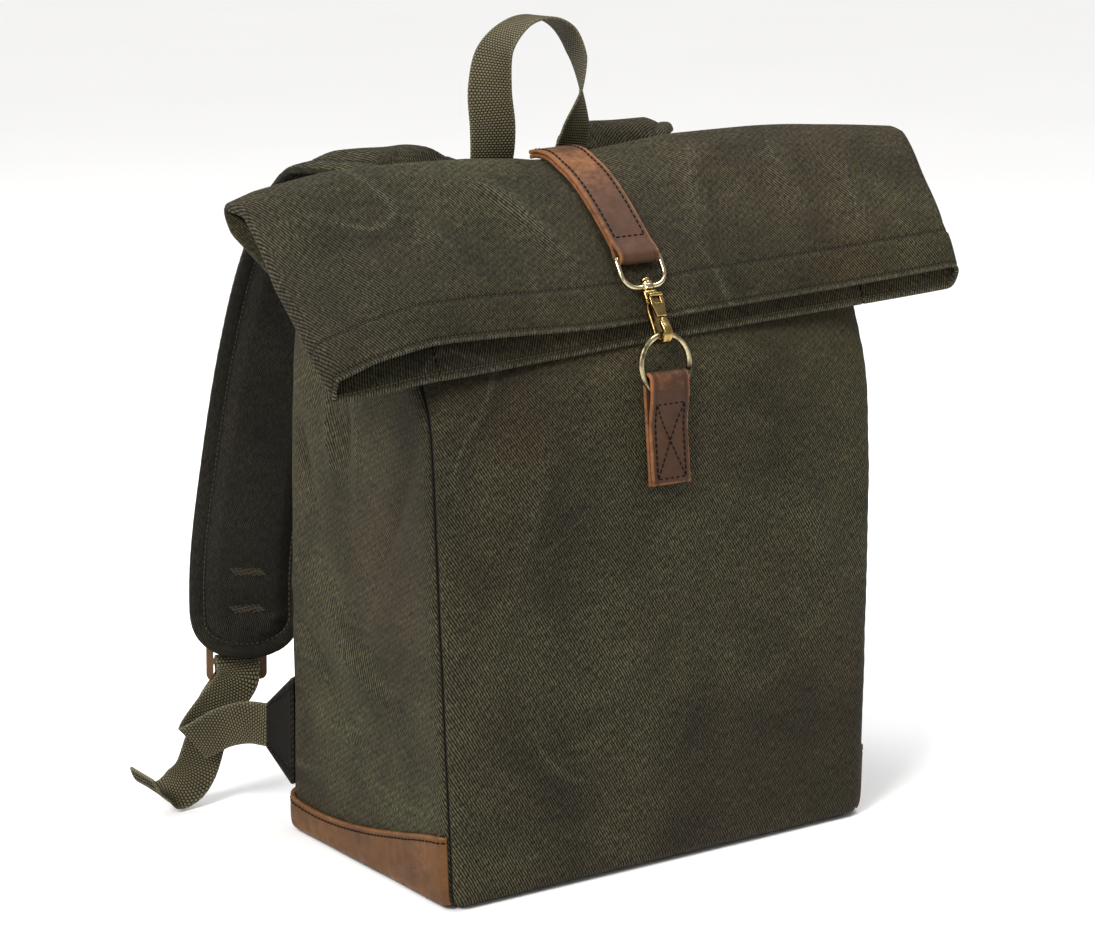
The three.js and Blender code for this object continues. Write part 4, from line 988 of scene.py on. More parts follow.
def cloth_of(tree):
    return add(tree, "ShaderNodeUVMap", uv_map="cloth").outputs[0]


def wear_and_shade_of(tree):
    return add(tree, "ShaderNodeAttribute", attribute_name="wear_and_shade").outputs["Fac"]


def use(tree, name, **inputs):
    """A node group placed in a material with its own values."""
    return add(tree, "ShaderNodeGroup", inputs, node_tree=bpy.data.node_groups[name]).outputs


def finish_look(tree, shader, base, rough, height, distance, strength=1.0):
    """Joins a look's colour, roughness and relief to its shader; the relief's distance is in millimetres."""
    tree.links.new(base, shader.inputs["Base Color"])
    tree.links.new(rough, shader.inputs["Roughness"])
    bump = add(tree, "ShaderNodeBump", {"Height": height, "Distance": distance * MM, "Strength": strength})
    tree.links.new(bump.outputs[0], shader.inputs["Normal"])


def canvas_look(name, base, wax, colours, sizes, crease_shading_share=0.36, fine=1.0):
    """Waxed canvas with painted shade in its rib hollows, grooves, crease valleys and beside creases, and
    painted highlights on crease ridges that also stand for wax lightened by rubbing; the share after sizes is
    how far the painted creases show, and fine a share of the twill's pitch.
    """
    dark, rub_and_highlight = colours.canvas_dark_and_shade, colours.canvas_rub_and_highlight
    tree, shader, place = new_look(name, 0.14)
    wear_and_shade = wear_and_shade_of(tree)
    twill = use(tree, "Twill", Cloth=cloth_of(tree), Pitch=sizes.twill_pitch * fine)
    patch = use(tree, "Patches", Place=place, Scale=7.0)
    rub_and_shade = use(tree, "Rubbed", Place=place, Wear=wear_and_shade, Scale=240.0)
    crease = use(tree, "Crease shading", Place=place)
    body = base
    # Wax and darker patches are the canvas's own; beside creases is painted shade, on crease ridges painted
    # highlight that also stands for wax lightened by rubbing; the last layer is scuffing
    layers = [(patch["Broad"], 0.75, wax), (patch["Deep"], 0.34, dark), (patch["Fine"], 0.4, dark),
              (crease["Side"], crease_shading_share, dark), (crease["Line"], crease_shading_share, rub_and_highlight), (rub_and_shade["Mask"], 0.55, rub_and_highlight)]
    for mask, share, shade in layers:
        body = tint(tree, times(tree, mask, share), body, shade)
    # Painted shade in the hollows between the twill's ribs, varied by uneven threads
    slub = ramp(tree, twill["Slub"], 0.3, 0.7)
    thread = calc(tree, "MULTIPLY_ADD", twill["Rib"], 0.6, times(tree, slub, 0.6))
    body = tint(tree, ramp(tree, thread, 0.45, 1.0, 0.97, 0.0), body, dark)
    # Painted shade where the per-place mark is below zero: seam, hem and stitch grooves and crease valleys
    body = tint(tree, ramp(tree, wear_and_shade, -0.8, -0.1, 0.92, 0.0), body, dark)
    rough = ramp(tree, patch["Broad"], 0.0, 1.0, 0.82, 0.66)
    height = calc(tree, "MULTIPLY_ADD", twill["Slub"], 0.7, twill["Rib"])
    height = calc(tree, "MULTIPLY_ADD", crease["Line"], 2.0 * crease_shading_share, height)
    finish_look(tree, shader, body, rough, height, 0.3)


def webbing_look(name, colours, sizes):
    """Woven webbing with painted shade in the hollows of its weave, darker patches, and edges lightened by
    rubbing.
    """
    tree, shader, place = new_look(name, 0.15)
    weave = use(tree, "Webbing weave", Cloth=cloth_of(tree), Pitch=sizes.weave_pitch)
    patch = use(tree, "Patches", Place=place, Scale=30.0)
    rub_and_shade = use(tree, "Rubbed", Place=place, Wear=wear_and_shade_of(tree), Scale=500.0)
    thread = calc(tree, "MULTIPLY_ADD", weave["Slub"], 0.3, weave["Bump"])
    # Painted shade in the hollows between the weave's bumps, varied by uneven threads
    body = tint(tree, ramp(tree, thread, 0.42, 1.0), colours.webbing_dark_and_shade, colours.webbing)
    body = tint(tree, times(tree, patch["Broad"], 0.3), body, colours.webbing_dark_and_shade)
    body = tint(tree, times(tree, rub_and_shade["Mask"], 0.3), body, colours.canvas_rub_and_highlight)
    rough = ramp(tree, weave["Bump"], 0.0, 1.0, 0.9, 0.7)
    finish_look(tree, shader, body, rough, thread, 0.55)


def leather_look(name, base, colours, shade):
    """Oiled leather with painted shade along its stitch grooves; shade is how far the dark places take over.
    """
    tree, shader, place = new_look(name, 0.2)
    wear_and_shade = wear_and_shade_of(tree)
    hide = use(tree, "Leather grain", Place=place)
    patch = use(tree, "Patches", Place=place, Scale=26.0)
    rub_and_shade = use(tree, "Rubbed", Place=place, Wear=wear_and_shade, Scale=210.0)
    share = calc(tree, "MULTIPLY_ADD", hide["Crease"], 0.5, shade - 0.4)
    share = calc(tree, "MULTIPLY_ADD", patch["Broad"], 0.5, share)
    body = tint(tree, share, base, colours.leather_dark)
    body = tint(tree, ramp(tree, hide["Pore"], 0.0, 0.6, 0.28, 0.0), body, colours.leather_dark)
    # Scuffed edges, and lighter bends that also paint a sheen highlight
    body = tint(tree, times(tree, rub_and_shade["Mask"], 0.85), body, colours.leather_edge_and_sheen)
    # Painted shade along the stitch grooves, in the thread's colour
    body = tint(tree, ramp(tree, wear_and_shade, -0.8, -0.1, 0.8, 0.0), body, colours.thread)
    rough = ramp(tree, hide["Crease"], 0.3, 0.7, 0.46, 0.66)
    height = calc(tree, "MULTIPLY_ADD", hide["Crease"], 1.6, hide["Pore"])
    finish_look(tree, shader, body, rough, height, 0.12, 0.7)


def metal_look(name, bright, dark, rough_low, rough_high):
    """Aged metal, tarnished where its wear is low."""
    tree, shader, place = new_look(name)
    patch = use(tree, "Patches", Place=place, Scale=160.0)
    wear_and_shade_mix = calc(tree, "MULTIPLY_ADD", patch["Broad"], 0.3, wear_and_shade_of(tree))
    body = tint(tree, ramp(tree, wear_and_shade_mix, 0.3, 0.85), dark, bright)
    body = tint(tree, times(tree, patch["Fine"], 0.25), body, dark)
    rough = ramp(tree, wear_and_shade_mix, 0.2, 0.95, rough_high, rough_low)
    finish_look(tree, shader, body, rough, patch["Fine"], 0.05, 0.5)
    shader.inputs["Metallic"].default_value = 1.0


def plain_look(name, shade, shares, scale, rough, relief, specular):
    """One colour between two shares of it, by noise of a scale, with its roughness and relief."""
    tree, shader, place = new_look(name, specular)
    noise = grain(tree, place, scale)
    low, high = ([share * c for c in shade] for share in shares)
    body = tint(tree, noise, low, high)
    finish_look(tree, shader, body, ramp(tree, noise, 0.3, 0.7, *rough), noise, relief)


def look(name):
    return bpy.data.materials[name]


class MakeLooks(bpy.types.Operator):
    """Makes the materials of the backpack and the patterns that they share"""
    bl_idname = "backpack.make_looks"
    bl_label = "Materials"

    def execute(self, context):
        sizes, colours = context.scene.backpack_sizes, context.scene.backpack_colours
        for make in (twill_group, weave_group, patches_group, rub_group, crease_shading_group, hide_group):
            make()
        canvas_look("waxed_canvas", colours.canvas, colours.canvas_wax, colours, sizes)
        canvas_look("pad_canvas", colours.pad, colours.pad, colours, sizes, 0.1, 0.72)
        canvas_look("wing_canvas", colours.wing, colours.wing, colours, sizes, 0.1)
        webbing_look("woven_webbing", colours, sizes)
        leather_look("oiled_leather", colours.leather, colours, 0.25)
        leather_look("tab_leather", colours.leather, colours, 0.5)
        leather_look("base_leather", colours.leather_base, colours, 0.18)
        metal_look("aged_brass", colours.brass, colours.brass_dark, 0.17, 0.42)
        metal_look("pale_brass", colours.brass_pale, colours.brass_dark, 0.15, 0.4)
        metal_look("buckle_metal", colours.copper, [0.35 * c for c in colours.copper], 0.3, 0.5)
        for name in ("thread", "canvas_thread", "pad_thread"):
            plain_look(name, getattr(colours, name), (0.6, 1.5), 2600.0, (0.6, 0.8), 0.1, 0.08)
        plain_look("floor", colours.floor, (0.985, 1.0), 2.0, (0.6, 0.66), 0.01, 0.1)
        return {"FINISHED"}


# Pieces

def tube_rows(step):
    """Rows of the tube at about even spacing, closer at the hem, and the distance of each to the mouth."""
    least_space = 0.7
    fine = np.linspace(0, LAST_ROW, FINE_STEPS)
    run = run_of(np.hstack([tube_point(0, fine), tube_point(BACK_MIDDLE, fine)]) / math.sqrt(2))
    even = np.linspace(0, run[-1], round(run[-1] / step))
    close = run[-1] - HEM_ROWS
    spaced = [value for value in even if np.abs(close - value).min() > least_space]
    at = np.sort(np.concatenate([spaced, close]))
    return np.interp(at, run, fine), at, run[-1] - at


def past_back(w):
    """A place round the tube that was counted on past the middle of the back."""
    return np.where(w > BACK_MIDDLE, w - 2 * BACK_MIDDLE, w)


def tube_columns(start, end, step):
    """Columns from one seam to the other at about even spacing, closer at the seams."""
    fine = np.linspace(start, end, FINE_STEPS)
    run = run_of(tube_point(past_back(fine), MIDDLE_ROW))
    even = np.linspace(SEAM_MARGIN, run[-1] - SEAM_MARGIN, round((run[-1] - 2 * SEAM_MARGIN) / step))
    at = np.concatenate([SEAM_COLUMNS, even, run[-1] - SEAM_COLUMNS[::-1]])
    return past_back(np.interp(at, run, fine)), np.minimum(at, run[-1] - at)


def clear_of_pieces(point, w, v):
    """1 where the body's cloth is free, 0 under the leather, the ring tab and the sewn ends on the back."""
    height = point[..., 2]
    at_tab = (1 - fade(np.abs(point[..., 0] - TAB_AT[0]), "beside_tab")) * (1 - fade(np.abs(w), "tab_round"))
    clear = fade(height, "above_leather") * (1 - at_tab * fade(height, "tab_height"))
    return clear * (1 - face_share("back", w) * fade(v, "sewn_back"))


def flap_crest(point):
    """Height of the crests on the top of the flap."""
    crest = 0
    for x, y, heading, long, wide, high in FLAP_CRESTS:
        along, aside = turned(point[..., 0] - x, point[..., 1] - y, heading)
        crest = crest + high * bell(along, long) * bell(aside, wide)
    return crest


def hem_band(mouth, soft):
    """1 on the hem's doubled band, fading over a soft edge beyond its seam."""
    inside = 0.6
    return 1 - smoothstep(mouth, HEM["band"] - inside, HEM["band"] + soft)


def give_way(point, v, mouth, on_flap, upper):
    """How far the flap's upper layer gives way under the hook and the strap."""
    hook = on_flap * upper * (1 - fade(np.abs(point[..., 0] - CLASP_AT[0]), "under_hook"))
    strap = fade(v, "strap_start") * (1 - fade(v, "strap_end")) * upper
    strap = strap * (1 - fade(np.abs(point[..., 0]), "under_strap"))
    return HEM["under_hook"] * hook * (1 - fade(mouth, "hook_reach")) + HEM["under_strap"] * strap


def canvas_relief(point, w, v, mouth, seam):
    """How far the cloth stands off its smooth surface, and how far it is lightened by rubbing there, below
    zero where shade is painted into seam, hem and stitch grooves and crease valleys.
    """
    x, height = point[..., 0], point[..., 2]
    on_body, on_flap = 1 - fade(v, "body_end"), fade(v, "flap_start")
    upper = face_share("back", w)
    upper = upper + fade(np.abs(w), "upper_side") * (1 - upper)
    clear = clear_of_pieces(point, w, v)
    creases = dent_depth(CREASES, point, w, RELIEF["crease_sharp"])
    crest = flap_crest(point)
    from_band, from_stitch = mouth - HEM["band"], mouth - HEM["stitch"]

    swell = soft_noise(point, RELIEF["swell_size"])
    swell = swell + RELIEF["fine"] * soft_noise(point + 200, RELIEF["fine_size"])
    body = on_body * clear * (RELIEF["crease"] * creases + RELIEF["swell"] * swell)
    lumps = RELIEF["lump"] * (1 + soft_noise(point, RELIEF["lump_size"])) \
        + RELIEF["small_lump"] * soft_noise(point + 90, RELIEF["small_size"])
    band = hem_band(mouth, HEM["soft"])
    flap = on_flap * upper * fade(np.abs(x), "beside_strap") * (crest + lumps * (1 - 0.6 * band))
    pucker = np.sin(x * 0.62 + 2.4 * soft_noise(point, 17))
    hem = on_flap * (band * HEM["extra"] * 0.5 - 0.9 * bell(from_band, 1.1) - 0.75 * bell(from_stitch, 0.9)
                     + 0.22 * pucker * bell(from_band, 7))
    ripple = np.sin(height * 0.55 + 2.2 * soft_noise(point, 22))
    ripple = RELIEF["ripple"] * clear * ripple * np.exp(-seam / 8)
    sewn = on_body * (ripple - RELIEF["seam"] * bell(seam, 1.3))

    # Painted shade along the body's seams and the hem's seam and stitch line
    groove_shade = on_flap * (bell(from_band, 0.8) + bell(from_stitch, 0.7)) + on_body * bell(seam, 0.7)
    # Scuffed crests, and painted shade in the creases' valleys
    rub_and_shade = on_body * (0.3 * np.clip(creases, 0, 2) + 0.28 * np.clip(creases, -1.5, 0))
    rub_and_shade = rub_and_shade + 0.12 * on_flap * np.clip(crest, 0, 3) * upper
    rub_and_shade = rub_and_shade + 0.2 * bell(v - 11.15, 0.35) * fade(np.abs(w), "ridge_round")
    rub_and_shade = rub_and_shade + 0.7 * bell(mouth, 1.6) + 0.14 * on_body * bell(seam - 2.2, 1.6) - groove_shade
    return body + flap + hem + sewn - give_way(point, v, mouth, on_flap, upper), rub_and_shade


def canvas_panel(name, start, end, step):
    """One canvas panel of the tube from seam to seam, and its flat width and length in metres."""
    v, up, mouth = tube_rows(step)
    w, seam = tube_columns(start, end, step)
    columns, rows = np.meshgrid(w, v)
    point = skin_point(columns, rows)
    relief, rub_and_shade = canvas_relief(point, columns, rows, mouth[:, None], seam[None])
    normals = tube_normal(columns, rows)
    thickness = CANVAS + HEM["extra"] * hem_band(mouth, HEM["edge"])
    run = row_runs(point)
    cloth = np.stack([run - run[:, [len(w) // 2]], np.broadcast_to(up[:, None], run.shape)], -1)
    mesh = sheet_mesh(name, point + normals * relief[..., None], normals, thickness[:, None], cloth, rub_and_shade)
    return mesh, (run[:, -1].max() * MM, up[-1] * MM)


def around_mouth(distance, lift, start, end):
    """A stitch line at a distance from the mouth, on the panel from start to end."""
    step = 2.0
    v, _, mouth = tube_rows(step)
    w, seam = tube_columns(start, end, step)
    row = np.interp(distance, mouth[::-1], v[::-1])
    point, normal = skin_point(w, row), tube_normal(w, row)
    relief, _ = canvas_relief(point, w, np.full_like(w, row), distance, seam)
    return point + normal * (relief + lift)[:, None], normal * np.sign(lift)


class MakeCanvas(bpy.types.Operator):
    """Builds the canvas front, back and sides, and base, with the flap's hem and stitching"""
    bl_idname = "backpack.make_canvas"
    bl_label = "Canvas body"

    def execute(self, context):
        sizes = context.scene.backpack_sizes
        step = sizes.mesh_step / MM
        front = (-SEAM, SEAM)
        back = (SEAM + SEAM_GAP, 2 * BACK_MIDDLE - SEAM - SEAM_GAP)
        for name, span in (("front_panel", front), ("back_and_sides", back)):
            mesh, flat = canvas_panel(f"{name}_cloth", *span, step)
            add_piece(f"{name}_cloth", mesh, "waxed_canvas", [name])
        self.base()
        thick = CANVAS / 2 + HEM["extra"] / 2
        sunk = 0.2
        right_fold, left_fold = 4, 12
        lines = [around_mouth(HEM["stitch"], thick, *back), around_mouth(HEM["band"], thick - sunk, *back)]
        for span in (front, (back[0], right_fold), (left_fold, back[1])):
            lines.append(around_mouth(HEM["stitch"], -thick, *span))
        stitching("flap_stitching", lines, sizes, 0.78, "canvas_thread")
        return {"FINISHED"}

    def base(self):
        spans = ((0, 1, 24), (1, 2, 10), (2, 6, 30), (6, 7, 10), (7, BACK_MIDDLE, 24))
        right = np.concatenate([[0], *(np.linspace(*span)[1:] for span in spans)])
        outline = tube_point(np.concatenate([right, -right[-2:0:-1]]), 0)
        outline[:, 2] = 0
        far = np.linalg.norm(outline, axis=1, keepdims=True)
        outline = outline * (1 - 1.5 * GAP / far)
        rings = np.stack([outline * share + (0, 0, rise) for share, rise in BASE_PROFILE])
        wear_and_shade = np.repeat([1.0 if share > 0.99 else 0.0 for share, _ in BASE_PROFILE], len(outline))
        mesh = loft_mesh("base_panel_cloth", rings, rings[..., :2], wear_and_shade)
        piece = add_piece("base_panel_cloth", mesh, "waxed_canvas", ["base_panel"])


class MakeCornerLeather(bpy.types.Operator):
    """Builds the leather on the lower sides, with the stitching along its top edge"""
    bl_idname = "backpack.make_corner_leather"
    bl_label = "Corner leather"

    def execute(self, context):
        sides = ((-1, "left_corner_leather"), (1, "right_corner_leather"))
        lines = [self.patch(side, name) for side, name in sides]
        stitching("corner_stitching", lines, context.scene.backpack_sizes)
        return {"FINISHED"}

    def top_edge(self, u):
        """Height of the leather's smooth top edge."""
        fine = np.linspace(PATCH["front"], PATCH["back"], 400)
        curve = np.interp(fine, *LEATHER_TOP.T)
        for _ in range(3):
            curve = np.convolve(np.pad(curve, 25, mode="edge"), np.ones(51) / 51, "valid")
        return np.interp(u, fine, curve)

    def patch(self, side, name):
        """Adds one side's leather and gives its stitch line."""
        front, back = PATCH["front"], PATCH["back"]
        u = np.concatenate([front + np.array([0, 0.01, 0.04]), np.linspace(front + 0.08, back - 0.06, 76),
                            back - np.array([0.03, 0.01, 0])])
        w = np.sort(side * u)
        height = self.top_edge(np.abs(w))
        top = np.array([row_at_height(place, rise) for place, rise in zip(w, height)])
        share = np.concatenate([[0, 0.015, 0.04], np.linspace(0.08, 0.9, 12), [0.93, 0.955, 0.975, 0.99, 1]])
        rows = PATCH["row"] + (top[None] - PATCH["row"]) * share[:, None]
        columns = np.broadcast_to(w, rows.shape)
        thickness = LEATHER * mix(0.4, 1, smoothstep(np.abs(w), 1.66, 1.95))
        lift = CANVAS / 2 + GAP + thickness / 2
        point = skin_point(columns, rows, np.broadcast_to(lift, rows.shape))
        normals = tube_normal(columns, rows)
        below = height[None] - point[..., 2]
        dip = 0.25 * soft_noise(point, 22) * smoothstep(below, 3, 8)
        dip = dip - 0.35 * bell(below - PATCH["stitch"], 0.9)
        point = point + normals * np.clip(dip, -0.3, 0.6)[..., None]
        cloth = np.stack([columns * 40, point[..., 2]], -1)
        wear_and_shade = 0.4 * bell(below, 0.8) + 0.2 * (1 - smoothstep(point[..., 2], 3, 9)) \
            + 0.2 * smoothstep(soft_noise(point, 30), 0.1, 0.7)
        mesh = sheet_mesh(f"{name}_hide", point, normals, thickness[None], cloth, wear_and_shade)
        add_piece(f"{name}_hide", mesh, "base_leather", [name])
        sewn = np.array([row_at_height(place, rise) for place, rise in zip(w, height - PATCH["stitch"])])
        return skin_point(w, sewn, lift + thickness / 2 - 0.1), tube_normal(w, sewn)


def band_mesh(name, path, across, width, thickness, pull_and_sheen):
    """A leather band bent along a path, with dipped seams and painted shade along them, with its edges
    lightened by rubbing, and lighter where it pulls, which also paints a sheen highlight on the bend.
    """
    way = np.gradient(path, axis=0)
    wide = unit(np.broadcast_to(across, path.shape))
    normals = unit(np.cross(wide, way))
    inside = np.linspace(-width / 2 + 1.2, width / 2 - 1.2, 17)
    sides = width / 2 - np.array([0, 0.25, 0.7])
    columns = np.concatenate([-sides, inside, sides[::-1]])
    grid = path[:, None] + wide[:, None] * columns[None, :, None]
    edge = width / 2 - np.abs(columns)
    dip = -0.3 * bell(edge - LEATHER_STITCH, 0.8)
    grid = grid + normals[:, None] * dip[None, :, None]
    run = run_of(path)
    cloth = np.stack(np.meshgrid(columns, run), -1)
    ends = np.minimum(run, run[-1] - run)
    wear_and_shade = 0.6 * bell(edge, 0.7)[None] + 0.6 * bell(ends, 0.7)[:, None]
    # Lighter where the band pulls over a bend: pull wear and a painted sheen highlight
    wear_and_shade = wear_and_shade + np.broadcast_to(pull_and_sheen, run.shape)[:, None] * (0.8 + 0.4 * soft_noise(grid, 14))
    # Painted shade along the dipped stitch lines
    wear_and_shade = wear_and_shade - 0.45 * bell(edge - LEATHER_STITCH, 0.7)[None]
    return sheet_mesh(name, grid, normals[:, None], thickness, cloth, wear_and_shade, 45)


def strap_point(t):
    """A place on the middle of the closing strap, at a share of its length from its sewn end to its eye."""
    lift = CANVAS / 2 + GAP + STRAP["lift"] + STRAP["rise"] * smoothstep(t, 0.7, 1)
    place = skin_point(np.full_like(t, BACK_MIDDLE), mix(STRAP["from"], STRAP["eye"], t), lift)
    return place + np.stack([STRAP["drift"] * t, 0 * t, 0 * t], -1)


def box_lines(low, high, half, steps):
    """Across and along of the four sides and the cross of a sewn box."""
    share = np.linspace(0, 1, steps)
    corners = np.array([(-half, low), (half, low), (half, high), (-half, high)])
    return [mix(corners[a], corners[b], share[:, None]).T
            for a, b in ((0, 1), (1, 2), (2, 3), (3, 0), (0, 2), (1, 3))]


def leaning(at, slope, across, out, up):
    """A place across, out and up in a frame that leans back by a slope."""
    turn = math.radians(slope)
    outward = np.array([0, -math.cos(turn), math.sin(turn)])
    upward = np.array([0, math.sin(turn), math.cos(turn)])
    across, out, up = (value[..., None] for value in alike(across, out, up))
    return at + across * np.array([1, 0, 0]) + out * outward + up * upward


def on_tab(across, out, up):
    """A place in the ring tab's frame."""
    return leaning(TAB_AT, TAB["lean"], across, out, up)


class MakeLeatherStraps(bpy.types.Operator):
    """Builds the doubled closing strap with its eye and the folded ring tab, with their stitching"""
    bl_idname = "backpack.make_leather_straps"
    bl_label = "Closing strap and ring tab"

    def execute(self, context):
        sizes = context.scene.backpack_sizes
        self.strap(sizes)
        self.tab(sizes)
        return {"FINISHED"}

    def strap(self, sizes):
        t = np.linspace(0, 1, 400)
        middle = strap_point(t)
        run = run_of(middle)
        long = run[-1]
        way = unit(np.gradient(middle, axis=0))
        across = back_way(np.zeros_like(t), mix(STRAP["from"], STRAP["eye"], t))
        across = unit(across - way * (across * way).sum(axis=1, keepdims=True))
        frames = np.concatenate([middle, way, across, np.cross(way, across)], axis=1)

        def on_strap(along, out):
            found = read_line(along, run, frames)
            past = np.maximum(along - long, 0)[:, None]
            return found[:, 0:3] + found[:, 3:6] * past + found[:, 9:12] * out[:, None], found[:, 6:9]

        flare = np.linspace(long - STRAP["flare"], long, 14)
        straight = np.linspace(0, long - STRAP["flare"], 46)[:-1]
        turn = np.linspace(0, np.pi, 15)[1:-1]
        layer, fold = STRAP["layer"], STRAP["fold"]
        rise = mix(layer, fold, smoothstep(flare, long - STRAP["flare"], long - 1))
        along = np.concatenate([straight, flare, long + fold * np.sin(turn), flare[::-1], straight[::-1]])
        flat = np.full_like(straight, layer)
        out = np.concatenate([flat, rise, fold * np.cos(turn), -rise[::-1], -flat])
        path, wide = on_strap(along, out)
        upper = np.arange(len(path)) < len(straight) + len(flare)
        # Lighter over the strap's top bend: pull wear and a painted sheen highlight
        pull_and_sheen = np.where(upper, 0.5 * bell(along - 0.3 * long, 0.2 * long) + 0.1, 0.0)
        mesh = band_mesh("closing_strap_hide", path, -wide, STRAP["width"], LEATHER, pull_and_sheen)
        add_piece("closing_strap_hide", mesh, "oiled_leather", ["closing_strap"])
        top = layer + LEATHER / 2 - 0.15
        sewn, half = long - STRAP["sewn"], STRAP["width"] / 2 - LEATHER_STITCH
        seam = np.linspace(1, sewn, 90)
        place, wide = on_strap(seam, np.full_like(seam, top))
        lines = [(place + wide * aside * half, read_line(seam, run, frames[:, 9:12])) for aside in (-1, 1)]
        cross = np.linspace(-1, 1, 12) * half
        place, wide = on_strap(np.full_like(cross, sewn), np.full_like(cross, top + 0.1))
        lines.append((place + wide * cross[:, None], np.repeat(frames[-1:, 9:12], len(cross), axis=0)))
        stitching("strap_stitching", lines, sizes)

    def tab(self, sizes):
        inner, outer = LEATHER / 2, TAB["thickness"] - LEATHER / 2
        fold = TAB["slot"] + LEATHER
        fold_at = TAB["half"] - fold
        turn = np.linspace(np.pi, 0, 17)[1:-1]
        bow = fold - inner
        back = np.linspace(-TAB["half"], fold_at, 30)
        front = np.linspace(fold_at, -TAB["half"], 40)

        def face_out(up):
            return mix(outer, 2 * fold - inner, smoothstep(up, TAB["slot_low"] - 17, TAB["slot_low"] + 6))

        out = np.concatenate([0 * back + inner, fold + bow * np.cos(turn), face_out(front)])
        up = np.concatenate([back, fold_at + bow * np.sin(turn), front])
        path = on_tab(0, out, up)
        # Lighter at the tab's fold: pull wear and a painted sheen highlight
        pull_and_sheen = np.where(np.arange(len(out)) > len(back), 0.25 * bell(up - fold_at, 7), 0)
        mesh = band_mesh("ring_tab_hide", path, np.array([-1.0, 0, 0]), TAB["width"], LEATHER, pull_and_sheen)
        add_piece("ring_tab_hide", mesh, "tab_leather", ["ring_tab"])
        outward = on_tab(0, 1, 0) - on_tab(0, 0, 0)
        lines = []
        low, half = TAB_BOX["low"] - TAB["half"], TAB["width"] / 2 - TAB_BOX["side"]
        for across, rise in box_lines(low, TAB_BOX["high"], half, 20):
            sunk = 0.0 if np.ptp(across) and np.ptp(rise) else 0.12
            line = on_tab(across, face_out(rise) + LEATHER / 2 - sunk, rise)
            lines.append((line, np.repeat(outward[None], len(line), axis=0)))
        stitching("tab_stitching", lines, sizes, 0.9)


def on_clasp(across, out, down):
    """A place in the clasp's frame: across, out from its line and down it."""
    return leaning(CLASP_AT, CLASP_SLOPE, across, out, -np.asarray(down))


def round_turn(sides):
    return np.arange(sides) / sides * 2 * np.pi


def wire_rings(path, radius, normal):
    """Rings of a round wire along a closed path that lies square to a normal."""
    way = np.roll(path, -1, axis=0) - np.roll(path, 1, axis=0)
    side = np.cross(unit(way), normal)[:, None]
    turn = round_turn(WIRE_SIDES)[None, :, None]
    return path[:, None] + radius * (side * np.cos(turn) + normal * np.sin(turn))


def squared(turn, power):
    """A round turn as two waves of a squarer one; power 2 is a circle."""
    return [np.sign(wave) * np.abs(wave) ** (2 / power) for wave in (np.cos(turn), np.sin(turn))]


def block_rings(rows, power=5.0):
    """Rings of a cast block on the clasp: rows of down, half width, lowest and highest out."""
    wave = squared(round_turn(BLOCK_SIDES) + np.pi / BLOCK_SIDES, power)
    return np.stack([on_clasp(half * wave[0], (low + high) / 2 + (high - low) / 2 * wave[1], down)
                     for down, half, low, high in rows])


def turned_rings(rows):
    """Rings of a turned body about the clasp's line: rows of down and radius."""
    turn = round_turn(TURNED_SIDES)
    return np.stack([on_clasp(radius * np.cos(turn), radius * np.sin(turn), down) for down, radius in rows])


